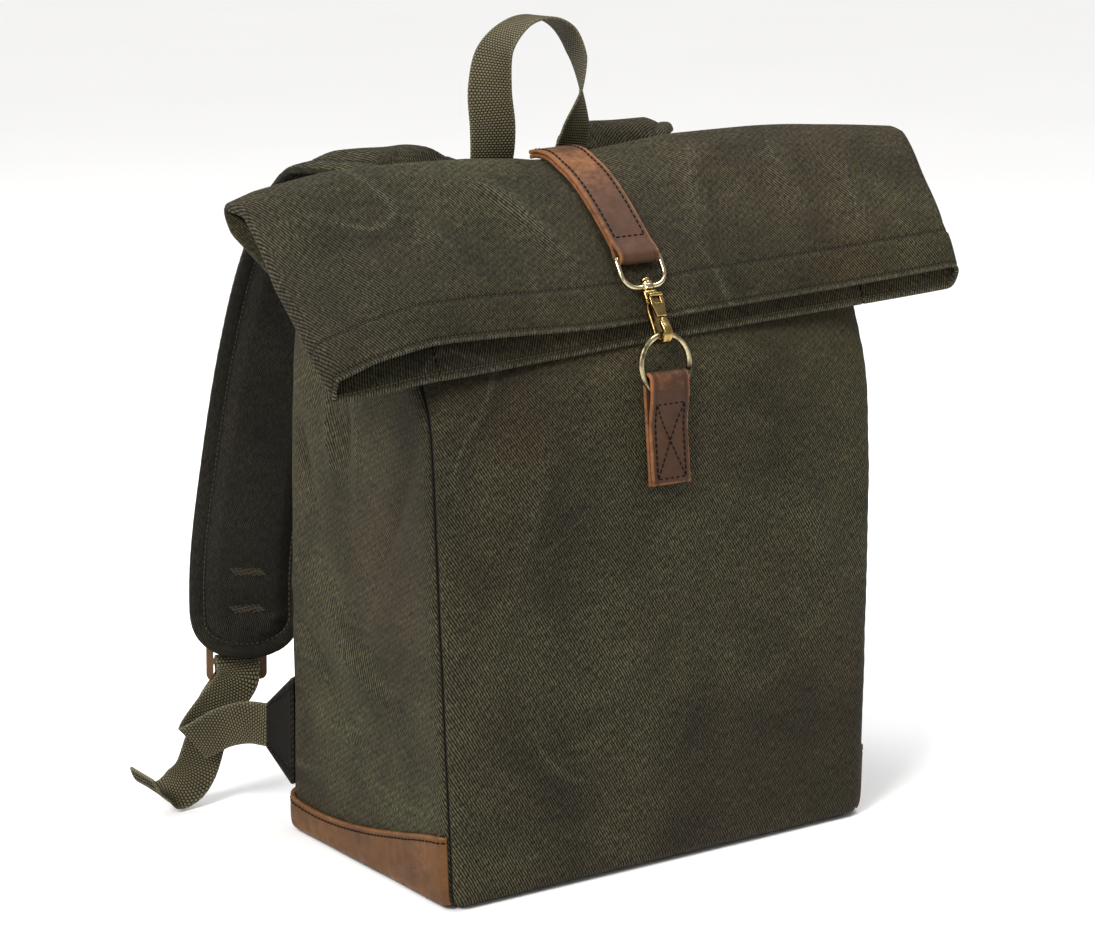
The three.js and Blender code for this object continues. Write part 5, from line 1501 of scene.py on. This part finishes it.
class MakeClasp(bpy.types.Operator):
    """Builds the brass swivel loop, snap hook, gate and ring"""
    bl_idname = "backpack.make_clasp"
    bl_label = "Brass clasp"

    def execute(self, context):
        self.loop()
        self.hook()
        self.gate()
        self.ring()
        return {"FINISHED"}

    def loop(self):
        eye = strap_point(np.array([1.0]))[0]
        across = back_way(np.array([0.0]), np.array([STRAP["eye"]]))[0]
        head = eye + across * (CLASP_AT[0] - eye[0])
        down = CLASP_AT - head
        long = np.linalg.norm(down)
        down = down / long
        half = LOOP["width"] / 2 - LOOP["wire"]
        low, top = LOOP["corner"], LOOP["top_corner"]
        corners = [(half - low, long - low, low, 0), (low - half, long - low, low, 1),
                   (top - half, top, top, 2), (half - top, top, top, 3)]
        outline = []
        for x, y, radius, quarter in corners:
            turn = (quarter + np.linspace(0, 1, 14)) * np.pi / 2
            outline.append(np.stack([x + radius * np.cos(turn), y + radius * np.sin(turn)], 1))
        outline = np.concatenate(outline)
        closed = np.concatenate([outline, outline[:1]])
        even = read_line(np.linspace(0, run_of(closed)[-1], 161)[:-1], run_of(closed), closed)
        path = head + across * even[:, :1] + down * even[:, 1:]
        normal = unit(np.cross(across, down))
        wire = loft_mesh("loop_wire", wire_rings(path, LOOP["wire"], normal), closed=True)
        high, deep, bore, wall = -BOSS["high"], BOSS["low"], BOSS["bore"], BOSS["radius"]
        rows = [(high, bore), (high, wall - 0.5), (high + 0.5, wall), (-0.4, wall), (0, wall + 0.35),
                (0.4, wall), (deep - 0.5, wall), (deep, wall - 0.5), (deep, bore)]
        boss = loft_mesh("loop_boss", turned_rings(rows), closed=True)
        room = loft_mesh("loop_bore", turned_rings([(high - 2, bore), (deep + 2, bore)]))
        mesh = cast("swivel_loop_brass", [wire, boss], 0.28, 2, room)
        add_piece("swivel_loop_brass", mesh, "pale_brass", ["swivel_loop"])

    def hook(self):
        bar_half, bar_thick, bar_square, tip_from = 3.0, 1.6, 3.4, 0.9
        shares = np.linspace(0, 1, 90)
        line, way = smooth_line(np.column_stack([HOOK_LINE, 0 * HOOK_LINE[:, 0]]), shares)
        wave = squared(round_turn(TURNED_SIDES), bar_square)
        tip = np.where(shares > tip_from, 1 - 0.35 * ((shares - tip_from) / (1 - tip_from)) ** 2, 1)
        wide = (bar_half * tip)[:, None] * wave[0]
        thick = (bar_thick * (1 - 0.12 * smoothstep(shares, 0.85, 1)))[:, None] * wave[1]
        bar = on_clasp(wide, line[:, 0:1] - thick * way[:, 1:2], line[:, 1:2] + thick * way[:, 0:1])
        pin_ends = []
        for side in (-1, 1):
            turn = round_turn(WIRE_SIDES)
            out, down = (PIN_END[:, 1:2] * wave_of(turn) for wave_of in (np.cos, np.sin))
            pin_ends.append(on_clasp(side * PIN_END[:, 0:1], PIN["out"] + out, PIN["down"] + down))
        parts = (bar, block_rings(HOOK_BLOCK), turned_rings(HOOK_POST), *pin_ends)
        slot = loft_mesh("hook_slot", block_rings(HOOK_SLOT, 12))
        mesh = cast("snap_hook_brass", [loft_mesh("hook_part", rings) for rings in parts], 0.24, 3, slot)
        add_piece("snap_hook_brass", mesh, "aged_brass", ["snap_hook"], "hook")

    def gate(self):
        shift = np.array([CHEEK_ASIDE, 0, 0])
        cheek = block_rings(GATE_CHEEK)
        parts = [block_rings(rows, 6) for rows in (GATE_LOWER, GATE_FLOOR, GATE_THUMB)]
        parts += [cheek - shift, cheek + shift, block_rings(GATE_KNUCKLE, 4)]
        mesh = cast("hook_gate_brass", [loft_mesh("gate_part", rings) for rings in parts], 0.2, 2)
        add_piece("hook_gate_brass", mesh, "aged_brass", ["hook_gate"], "gate")

    def ring(self):
        turn = round_turn(RING_STEPS)
        fold = TAB["slot"] + LEATHER
        radius = RING["radius"]
        path = on_tab(radius * np.cos(turn), fold, RING["up"] + radius * np.sin(turn))
        normal = on_tab(0, 1, 0) - on_tab(0, 0, 0)
        wear_and_shade = np.repeat(np.clip(0.55 + 0.4 * soft_noise(path, 6), 0, 1), WIRE_SIDES)
        mesh = loft_mesh("ring_brass", wire_rings(path, RING["wire"], normal), wear_and_shade=wear_and_shade, closed=True)
        add_piece("ring_brass", mesh, "pale_brass", ["ring"])


def headings(degrees):
    """Level directions at angles from +X."""
    turn = np.radians(degrees)
    return np.stack([np.cos(turn), np.sin(turn), 0 * turn], -1)


class MakeHandle(bpy.types.Operator):
    """Builds the webbing grab handle with its sewn ends"""
    bl_idname = "backpack.make_handle"
    bl_label = "Grab handle"

    def execute(self, context):
        seat = np.array([8.45, 9.0])
        lift = WEBBING_THICKNESS + GAP
        right = np.full(2, HANDLE_ASIDE)
        left = -right
        points = np.concatenate([back_seat(left, seat, lift), HANDLE[:, :3],
                                 back_seat(right, seat, lift)[::-1]])
        ways = np.concatenate([back_way(left, seat), headings(HANDLE[:, 3]), -back_way(right, seat)[::-1]])
        ribbon = Ribbon(points, ways, WEBBING_STEP)
        mesh = strip_mesh("grab_handle_webbing", ribbon, webbing_section())
        piece = add_piece("grab_handle_webbing", mesh, "woven_webbing", ["grab_handle"])
        lines = []
        for start in (WEBBING_BOX["end"], ribbon.long - WEBBING_BOX["end"] - WEBBING_BOX["long"]):
            lines += webbing_box(ribbon, start)
        stitching("handle_stitching", lines, context.scene.backpack_sizes, 0.8)
        return {"FINISHED"}


def box_stitch(ribbon, start, end, half, out):
    """Lines of a sewn box with its cross on a ribbon, on the face that looks away from the bag."""
    middle = ribbon.normal(np.array([(start + end) / 2]))[0]
    side = 1 if middle[1] > 0 else -1
    return [on_ribbon(ribbon, along, across, out, side) for across, along in box_lines(start, end, half, 16)]


def webbing_box(ribbon, start):
    return box_stitch(ribbon, start, start + WEBBING_BOX["long"], WEBBING_BOX["half"], WEBBING_THICKNESS / 2)


class PadForm:
    """A shoulder pad: its ribbon, its outline along and across, and its thickness by distance to the edge."""

    def __init__(self, side):
        spread = PAD_LINE[:, 4] * (side > 0)
        self.slump = (9.0, 9.0, 0.0) if side < 0 else (9.0, 3.0, 6.0)
        points = np.column_stack([side * (spread - PAD_LINE[:, 0]), PAD_LINE[:, 1:3]])
        ways = headings(-side * PAD_LINE[:, 3])
        seat = np.array([7.6, 7.95])
        x = np.full(2, side * PAD["seat"])
        points = np.concatenate([back_seat(x, seat, PAD["thickness"] + 2 * GAP), points])
        ways = np.concatenate([back_way(x, seat), ways])
        self.ribbon = Ribbon(points, ways, 2.2)
        fine = np.linspace(0, 1, RIBBON_STEPS)
        past = np.clip((fine - PAD["round"]) / (1 - PAD["round"]), 0, 0.985)
        self.run = self.ribbon.run
        self.half = PAD["width"] / 2 * (1 - past ** 2.5) ** 0.45
        self.half[-1] = self.half[-2]
        inset = np.linspace(0, 1, 60)
        end = np.stack([np.full(60, self.run[-1]), self.half[-1] * (1 - inset)], 1)
        side_line = np.stack([self.run[::4], self.half[::4]], 1)
        self.outline = np.concatenate([side_line, end])

    def settled(self, points, rise, along, across):
        """Places on the pad's bend, lifted along its middle and lowered toward its sides."""
        top = self.run[self.ribbon.frame[:, 2].argmax()]
        share = across / PAD["width"] * 2
        inner, outer, lift = self.slump
        upward = np.array([0, 0, 1])
        rest = points + (lift * bell(along - top, 40) * (1 - share ** 2))[..., None] * upward
        sink = np.where(share < 0, inner, outer) * share ** 2
        over = rest[..., 2] - (self.ribbon.frame[:, 2].max() + lift + 1.7 + rise - sink)
        return rest - 0.5 * (over + np.sqrt(over * over + 12))[..., None] * upward

    def seams(self):
        """Distances along the pad of the seams across it, at its bend."""
        top = self.run[self.ribbon.frame[:, 2].argmax()]
        return top - 9, top + 27

    def edge(self, along, across):
        """Distance to the pad's edge."""
        far = self.outline[None] - np.stack([along.ravel(), np.abs(across).ravel()], 1)[:, None]
        return np.sqrt((far ** 2).sum(axis=2).min(axis=1)).reshape(along.shape)

    def thickness(self, along, across):
        """Half the pad's thickness at a place, and the place's distance to the edge."""
        edge = self.edge(along, across)
        border = PAD["border"]
        flange = PAD["flange"] * np.sqrt(np.clip(1 - (1 - np.clip(edge / 1.9, 0, 1)) ** 2, 0, 1))
        crown = PAD["crown"] * smoothstep(edge, border - 0.3, border + 9)
        return flange + crown - bell(edge - border, 1.2), edge


class MakePads(bpy.types.Operator):
    """Builds the padded shoulder straps with their bound edges, stitching and sewn bars"""
    bl_idname = "backpack.make_pads"
    bl_label = "Shoulder pads"

    def execute(self, context):
        sizes = context.scene.backpack_sizes
        for side, name in ((-1, "left"), (1, "right")):
            self.pad(PadForm(side), name, sizes)
        return {"FINISHED"}

    def pad(self, form, name, sizes):
        ribbon, run = form.ribbon, form.run
        close = run[-1] - np.array([0, 0.3, 0.8, 1.6, 2.6, 3.8, 5.2, 6.8, 8.6, 10.4])
        along = np.concatenate([ribbon.steps[ribbon.steps < run[-1] - 12], close[::-1]])
        along = np.concatenate([[0, 0.4, 1.0], along[along > 1.4]])
        share = np.concatenate([[-1, -0.99, -0.965], np.linspace(-0.93, 0.93, 41), [0.965, 0.99, 1]])
        half = np.interp(along, run, form.half)
        across = half[:, None] * share[None]
        grid = np.broadcast_to(along[:, None], across.shape)
        thick, edge = form.thickness(grid, across)
        middle = ribbon.at(grid, across, np.zeros_like(grid))
        soft = smoothstep(edge, 7, 18)
        swell = soft * (0.55 * soft_noise(middle, 26) + 0.3 * soft_noise(middle + 50, 11))
        pucker = 0.22 * np.sin(grid * 0.8 + 3 * soft_noise(middle, 20)) * bell(edge - PAD["border"], 4)
        pulls = PAD["bar_deep"] * sum(self.bar_pull(grid - place, across) for place in self.bars(ribbon))
        seams = sum(1.1 * bell(grid - place, 1.3) for place in form.seams()) * smoothstep(edge, 0, 2)
        top = thick + swell + pucker - pulls - seams
        low = thick + soft * 0.5 * soft_noise(middle + 120, 24) + pucker - 0.8 * pulls
        top, low = np.maximum(top, 0), np.maximum(low, 0)
        over = form.settled(ribbon.at(grid, across, top), -top, grid, across)
        under = form.settled(ribbon.at(grid, across, -low), low, grid, across)
        rings = np.concatenate([over, under[:, -2:0:-1]], axis=1)
        round_it = row_runs(rings)
        cloth = np.stack([round_it, np.broadcast_to(along[:, None], round_it.shape)], -1)
        # Scuffed edges, and painted shade in the groove of the border's stitch line
        wear_and_shade_mix = 0.16 * bell(edge, 1.6) - 0.9 * bell(edge - PAD["border"], 0.8)
        wear_and_shade_mix = np.concatenate([wear_and_shade_mix, wear_and_shade_mix[:, -2:0:-1]], axis=1)
        mesh = loft_mesh(f"{name}_shoulder_pad_cloth", rings, cloth, wear_and_shade_mix.ravel(), sharp=70)
        piece = add_piece(f"{name}_shoulder_pad_cloth", mesh, "pad_canvas",
                          [f"{name}_shoulder_pad"])
        # The pad colour covers the inner face and the ends, the body's canvas the outer face
        mesh.materials.append(look("waxed_canvas"))
        outer = np.zeros(len(mesh.polygons), np.int32)
        outer[:len(rings[1:]) * rings.shape[1]] = np.tile(np.arange(rings.shape[1]) >= len(share) - 1,
                                                          len(rings) - 1)
        mesh.polygons.foreach_set("material_index", outer)
        lines = self.border_lines(form)
        rise, _ = form.thickness(np.full(16, 12.0), np.linspace(-20, 20, 16))
        lines += box_stitch(ribbon, *PAD["box"], rise.max() + 0.1)
        for place in self.bars(ribbon):
            lines += self.bar_lines(form, place)
        stitching(f"{name}_pad_stitching", lines, sizes, 0.85, "pad_thread")

    def border_lines(self, form):
        """Stitch lines along the pad's border, on both faces."""
        inset, end = PAD["border"], PAD["end"]
        straight = np.linspace(2, form.run[-1] - end, 240)
        far = PAD["width"] / 2 - inset
        turn = np.linspace(0, np.pi, 60)[1:-1]
        bow = form.run[-1] - end + (end - inset) * np.sin(turn) ** 0.8
        along = np.concatenate([straight, bow, straight[::-1]])
        across = np.concatenate([0 * straight - far, -far * np.cos(turn), 0 * straight + far])
        rise, _ = form.thickness(along, across)
        lines = []
        for face in (1, -1):
            line, normals = on_ribbon(form.ribbon, along, across, rise + 0.12, face)
            lines.append((form.settled(line, -face * rise, along, across), normals))
        return lines

    def bar_pull(self, along, across):
        """How far a sewn bar pulls the pad in near it, from 0 to 1."""
        return bell(along, PAD["bar_long"]) * bell(across, PAD["bar_wide"])

    def bar_lines(self, form, place):
        """Dense stitch lines of one sewn bar, on both faces."""
        lines = []
        for shift in np.linspace(-1.5, 1.5, 6):
            x = np.linspace(-9.5, 9.5, 30) + shift
            z = place + shift + 0.5 * np.sin(x * 1.7 + shift * 5)
            rise, _ = form.thickness(np.full_like(x, place), x)
            for face, deep in ((1, PAD["bar_deep"]), (-1, PAD["bar_deep_under"])):
                out = rise - deep * self.bar_pull(z - place, x) + 0.2
                lines.append(on_ribbon(form.ribbon, z, x, out, face))
        return lines

    def bars(self, ribbon):
        """Distances along the pad of its two sewn bars."""
        height = ribbon.frame[len(ribbon.frame) // 2:, 2]
        run = ribbon.run[len(ribbon.run) // 2:]
        return [float(np.interp(-z, -height, run)) for z in PAD["bars"]]


def pad_end():
    """Frame at the left pad's end as place, across, back and up."""
    form = PadForm(-1)
    last = form.ribbon.frame[-1]
    before = form.ribbon.frame[-2]
    up = unit(before[0:3] - last[0:3])
    across = unit(last[3:6] - up * (last[3:6] @ up))
    return last[0:3], across, np.cross(up, across), up


class MakeWebbing(bpy.types.Operator):
    """Builds the buckle loops and the adjusting webbing, and finishes the slide buckles"""
    bl_idname = "backpack.make_webbing"
    bl_label = "Adjusting webbing and buckles"

    def execute(self, context):
        sizes = context.scene.backpack_sizes
        at, across, back, up = pad_end()

        def at_end(x, y, z):
            return at + across * x + back * y + up * z

        def round_bar(height, over):
            turns = np.linspace(0, 1, 5) * np.pi
            return [at_end(BUCKLE["aside"], BUCKLE["behind"] - BUCKLE["turn"] * math.cos(turn),
                           height + over * BUCKLE["turn"] * math.sin(turn)) for turn in turns]

        on_pad = PAD["thickness"] / 2 + GAP + WEBBING_THICKNESS / 2
        aside, middle, pitch = BUCKLE["aside"], BUCKLE["middle"], BUCKLE["pitch"]
        loop = [at_end(aside, on_pad, 46), at_end(aside, on_pad, 26), *round_bar(middle + pitch, -1)]
        loop += [at_end(aside, on_pad + away, rise) for away, rise in ((3.6, 20), (2.2, 32), (2.2, 44))]
        ribbon = Ribbon(loop, np.repeat(across[None], len(loop), axis=0), WEBBING_STEP)
        lines = webbing_box(ribbon, ribbon.long - WEBBING_BOX["end"] - WEBBING_BOX["long"])
        self.pair("buckle_loop", strip_mesh("left_buckle_loop_webbing", ribbon, webbing_section()), ribbon)
        beside = BUCKLE["turn"] + 0.2
        bar = round_bar(middle, 1)
        bar.insert(0, at_end(aside, BUCKLE["behind"] - beside, middle - pitch))
        bar.append(at_end(aside, BUCKLE["behind"] + beside, middle - pitch))
        edges = [WEBBING_RISE, WEBBING_TAIL]
        centres = [(table[:, :3] + table[:, 3:]) / 2 for table in edges]
        ways = [unit(table[:, :3] - table[:, 3:]) for table in edges]
        line = np.concatenate([centres[0], bar, centres[1]])
        widths = np.concatenate([ways[0], np.repeat(across[None], len(bar), axis=0), ways[1]])
        long = Ribbon(line, widths, WEBBING_STEP)
        self.pair("strap_webbing", strip_mesh("left_strap_webbing_webbing", long, webbing_section()), long)
        x = np.linspace(-11, 11, 14)
        for from_end in (3.0, 6.0):
            for side in (1, -1):
                lines.append(on_ribbon(long, long.long - from_end, x, WEBBING_THICKNESS / 2, side))
        lines += [(line * MIRROR, normals * MIRROR) for line, normals in lines]
        stitching("webbing_stitching", lines, sizes, 0.8)
        for name in ("left_slide_buckle", "right_slide_buckle"):
            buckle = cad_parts[name]
            buckle.data.materials.clear()
            buckle.data.materials.append(look("buckle_metal"))
            round_off = buckle.modifiers.new("rounded edges", "BEVEL")
            round_off.width = 0.6 * MM
            round_off.segments = 3
            round_off.limit_method = "ANGLE"
            round_off.harden_normals = False
        return {"FINISHED"}

    def pair(self, name, mesh, ribbon):
        """Adds the left webbing and its mirror image."""
        right = mirrored(mesh, f"right_{name}_webbing")
        for side, own in (("left", mesh), ("right", right)):
            piece = add_piece(f"{side}_{name}_webbing", own, "woven_webbing",
                              [f"{side}_{name}"])


class MakeWings(bpy.types.Operator):
    """Builds the canvas wings at the lower back corners that hold the webbing"""
    bl_idname = "backpack.make_wings"
    bl_label = "Wing tabs"

    def execute(self, context):
        line = (WEBBING_RISE[:, :3] + WEBBING_RISE[:, 3:]) / 2
        along = smooth_line(line, np.array([0.0]))[1][0]
        across = unit(WEBBING_RISE[0, :3] - WEBBING_RISE[0, 3:])
        across = unit(across - along * (across @ along))
        tip = line[0] - along * 2 * GAP
        lines = []
        for side, name in ((-1, "left_wing_tab"), (1, "right_wing_tab")):
            flip = np.array([-side, 1, 1])
            up = np.concatenate([[0, 0.01, 0.03], np.linspace(0.06, 0.94, 27), [0.97, 0.99, 1]])
            share = np.concatenate([[0, 0.015, 0.04], np.linspace(0.08, 0.92, 15), [0.96, 0.985, 1]])
            heights = mix(WING["low"], WING["high"], up)
            w = side * WING["place"]
            lift = CANVAS / 2 + GAP + WING["thickness"] / 2
            roots = skin_point(w, row_at_height(w, heights), lift)
            root = side * WING["root"]
            hidden = skin_point(root, row_at_height(root, heights), lift)
            tips = (tip + across * ((0.5 - up) * WEBBING_WIDTH)[:, None]) * flip
            far = share[None, :, None]
            out = roots[:, None] + (tips - roots)[:, None] * (0.25 + 0.1 * np.sin(np.pi * up))[:, None, None]
            sewn = mix(hidden[:, None], roots[:, None], np.linspace(0, 1, 5)[None, :-1, None])
            grid = np.concatenate([sewn, bend(roots[:, None], out, tips[:, None], far)], axis=1)
            share = np.concatenate([np.full(4, -0.1), share])
            normals = unit(np.cross(np.gradient(grid, axis=1), np.gradient(grid, axis=0)))
            edge = np.minimum(up, 1 - up)[:, None] * WING["tall"]
            soft = smoothstep(edge, 2, 8) * smoothstep(share, 0, 0.2) * smoothstep(1 - share, 0, 0.2)
            grid = grid + normals * (soft * (0.9 * soft_noise(grid, 18) + 0.5))[..., None]
            thickness = WING["thickness"] * (1 - 0.25 * bell(edge - 3.2, 1.2)) + 0 * share[None]
            run = np.stack(np.meshgrid(share * WING["long"], up * WING["tall"]), -1)
            wear_and_shade = 0.7 * bell(edge, 1.2) + 0.6 * np.exp(-((1 - share) * 30) ** 2)[None]
            mesh = sheet_mesh(f"{name}_cloth", grid, normals, thickness, run, wear_and_shade)
            piece = add_piece(f"{name}_cloth", mesh, "wing_canvas", [name])
            for k in (4, len(up) - 5):
                for face in (1, -1):
                    lines.append((grid[k] + normals[k] * face * (WING["thickness"] / 2), normals[k] * face))
        stitching("wing_stitching", lines, context.scene.backpack_sizes, 0.85)
        return {"FINISHED"}


CAMERA = {"at": (-0.9932, -1.3932, 0.5845), "down": 12.22, "turn": -34.89, "lens": 36 * 3050 / 1095}

# Soft lights: name, kind, place, what it faces, width (angle of a sun), power, colour
LIGHTS = [
    ("key_light", "SUN", (-1.5, -0.62, 1.62), (0, 0, 0.2), 20, 3.1, (1.0, 0.99, 0.97)),
    ("side_light", "AREA", (-2.0, -0.6, 1.2), (0, 0, 0.22), 1.2, 7, (1.0, 0.985, 0.96)),
    ("front_light", "AREA", (-0.5, -1.9, 1.2), (0, 0, 0.25), 0.5, 2.2, (1.0, 1.0, 1.0)),
    ("top_light", "AREA", (0.5, -0.2, 2.0), (0.05, -0.02, 0.35), 1.2, 26, (1.0, 1.0, 1.0)),
    ("back_light", "AREA", (-0.8, 1.9, 1.5), (0, 0.05, 0.25), 1.4, 26, (1.0, 1.0, 1.0)),
]


class MakeStage(bpy.types.Operator):
    """Sets up the pale floor, the soft lights and the camera"""
    bl_idname = "backpack.make_stage"
    bl_label = "Stage"

    def execute(self, context):
        scene = context.scene
        mesh = bpy.data.meshes.new("floor")
        far = 30.0
        mesh.from_pydata([(-far, -far, 0), (far, -far, 0), (far, far, 0), (-far, far, 0)], [], [(0, 1, 2, 3)])
        mesh.materials.append(look("floor"))
        floor = new_object("floor", mesh)
        floor.location.z = -0.3 * MM
        for name, kind, place, faces, width, power, shade in LIGHTS:
            light = bpy.data.lights.new(name, kind)
            if kind == "SUN":
                light.angle = math.radians(width)
            else:
                light.shape = "DISK"
                light.size = width
            light.energy = power
            light.color = shade
            lamp = new_object(name, light)
            lamp.location = place
            lamp.rotation_euler = (Vector(faces) - Vector(place)).to_track_quat("-Z", "Y").to_euler()
        world = bpy.data.worlds.new("studio")
        world.use_nodes = True
        glow = world.node_tree.nodes["Background"].inputs
        glow["Color"].default_value = (1, 1, 1, 1)
        glow["Strength"].default_value = 0.38
        scene.world = world
        scene.view_settings.view_transform = "Standard"
        lens = bpy.data.cameras.new("camera")
        lens.sensor_width = 36
        lens.sensor_fit = "HORIZONTAL"
        lens.lens = CAMERA["lens"]
        lens.clip_end = 100
        camera = new_object("camera", lens)
        camera.location = CAMERA["at"]
        camera.rotation_euler = (math.radians(90 - CAMERA["down"]), 0, math.radians(CAMERA["turn"]))
        scene.camera = camera
        return {"FINISHED"}


OPERATORS = (MakeLooks, MakeStage, MakeCanvas, MakeCornerLeather, MakeLeatherStraps, MakeClasp, MakeHandle,
             MakePads, MakeWebbing, MakeWings)


class BackpackPanel(bpy.types.Panel):
    """Lists the steps of building the backpack, with its sizes and colours"""
    bl_idname = "VIEW3D_PT_backpack"
    bl_label = "Backpack"
    bl_space_type = "VIEW_3D"
    bl_region_type = "UI"
    bl_category = "Backpack"

    def draw(self, context):
        layout = self.layout
        for group in (context.scene.backpack_sizes, context.scene.backpack_colours):
            box = layout.box()
            for key in group.bl_rna.properties.keys():
                if key not in ("rna_type", "name"):
                    box.prop(group, key)
        for operator in OPERATORS:
            layout.operator(operator.bl_idname)


CLASSES = (BackpackSizes, BackpackColours, *OPERATORS, BackpackPanel)


def register():
    for cls in CLASSES:
        bpy.utils.register_class(cls)
    bpy.types.Scene.backpack_sizes = PointerProperty(type=BackpackSizes)
    bpy.types.Scene.backpack_colours = PointerProperty(type=BackpackColours)


def unregister():
    del bpy.types.Scene.backpack_colours
    del bpy.types.Scene.backpack_sizes
    for cls in reversed(CLASSES):
        bpy.utils.unregister_class(cls)


def main():
    register()
    for operator in OPERATORS:
        getattr(bpy.ops.backpack, operator.bl_idname.split(".")[1])()


if __name__ == "__main__":
    main()
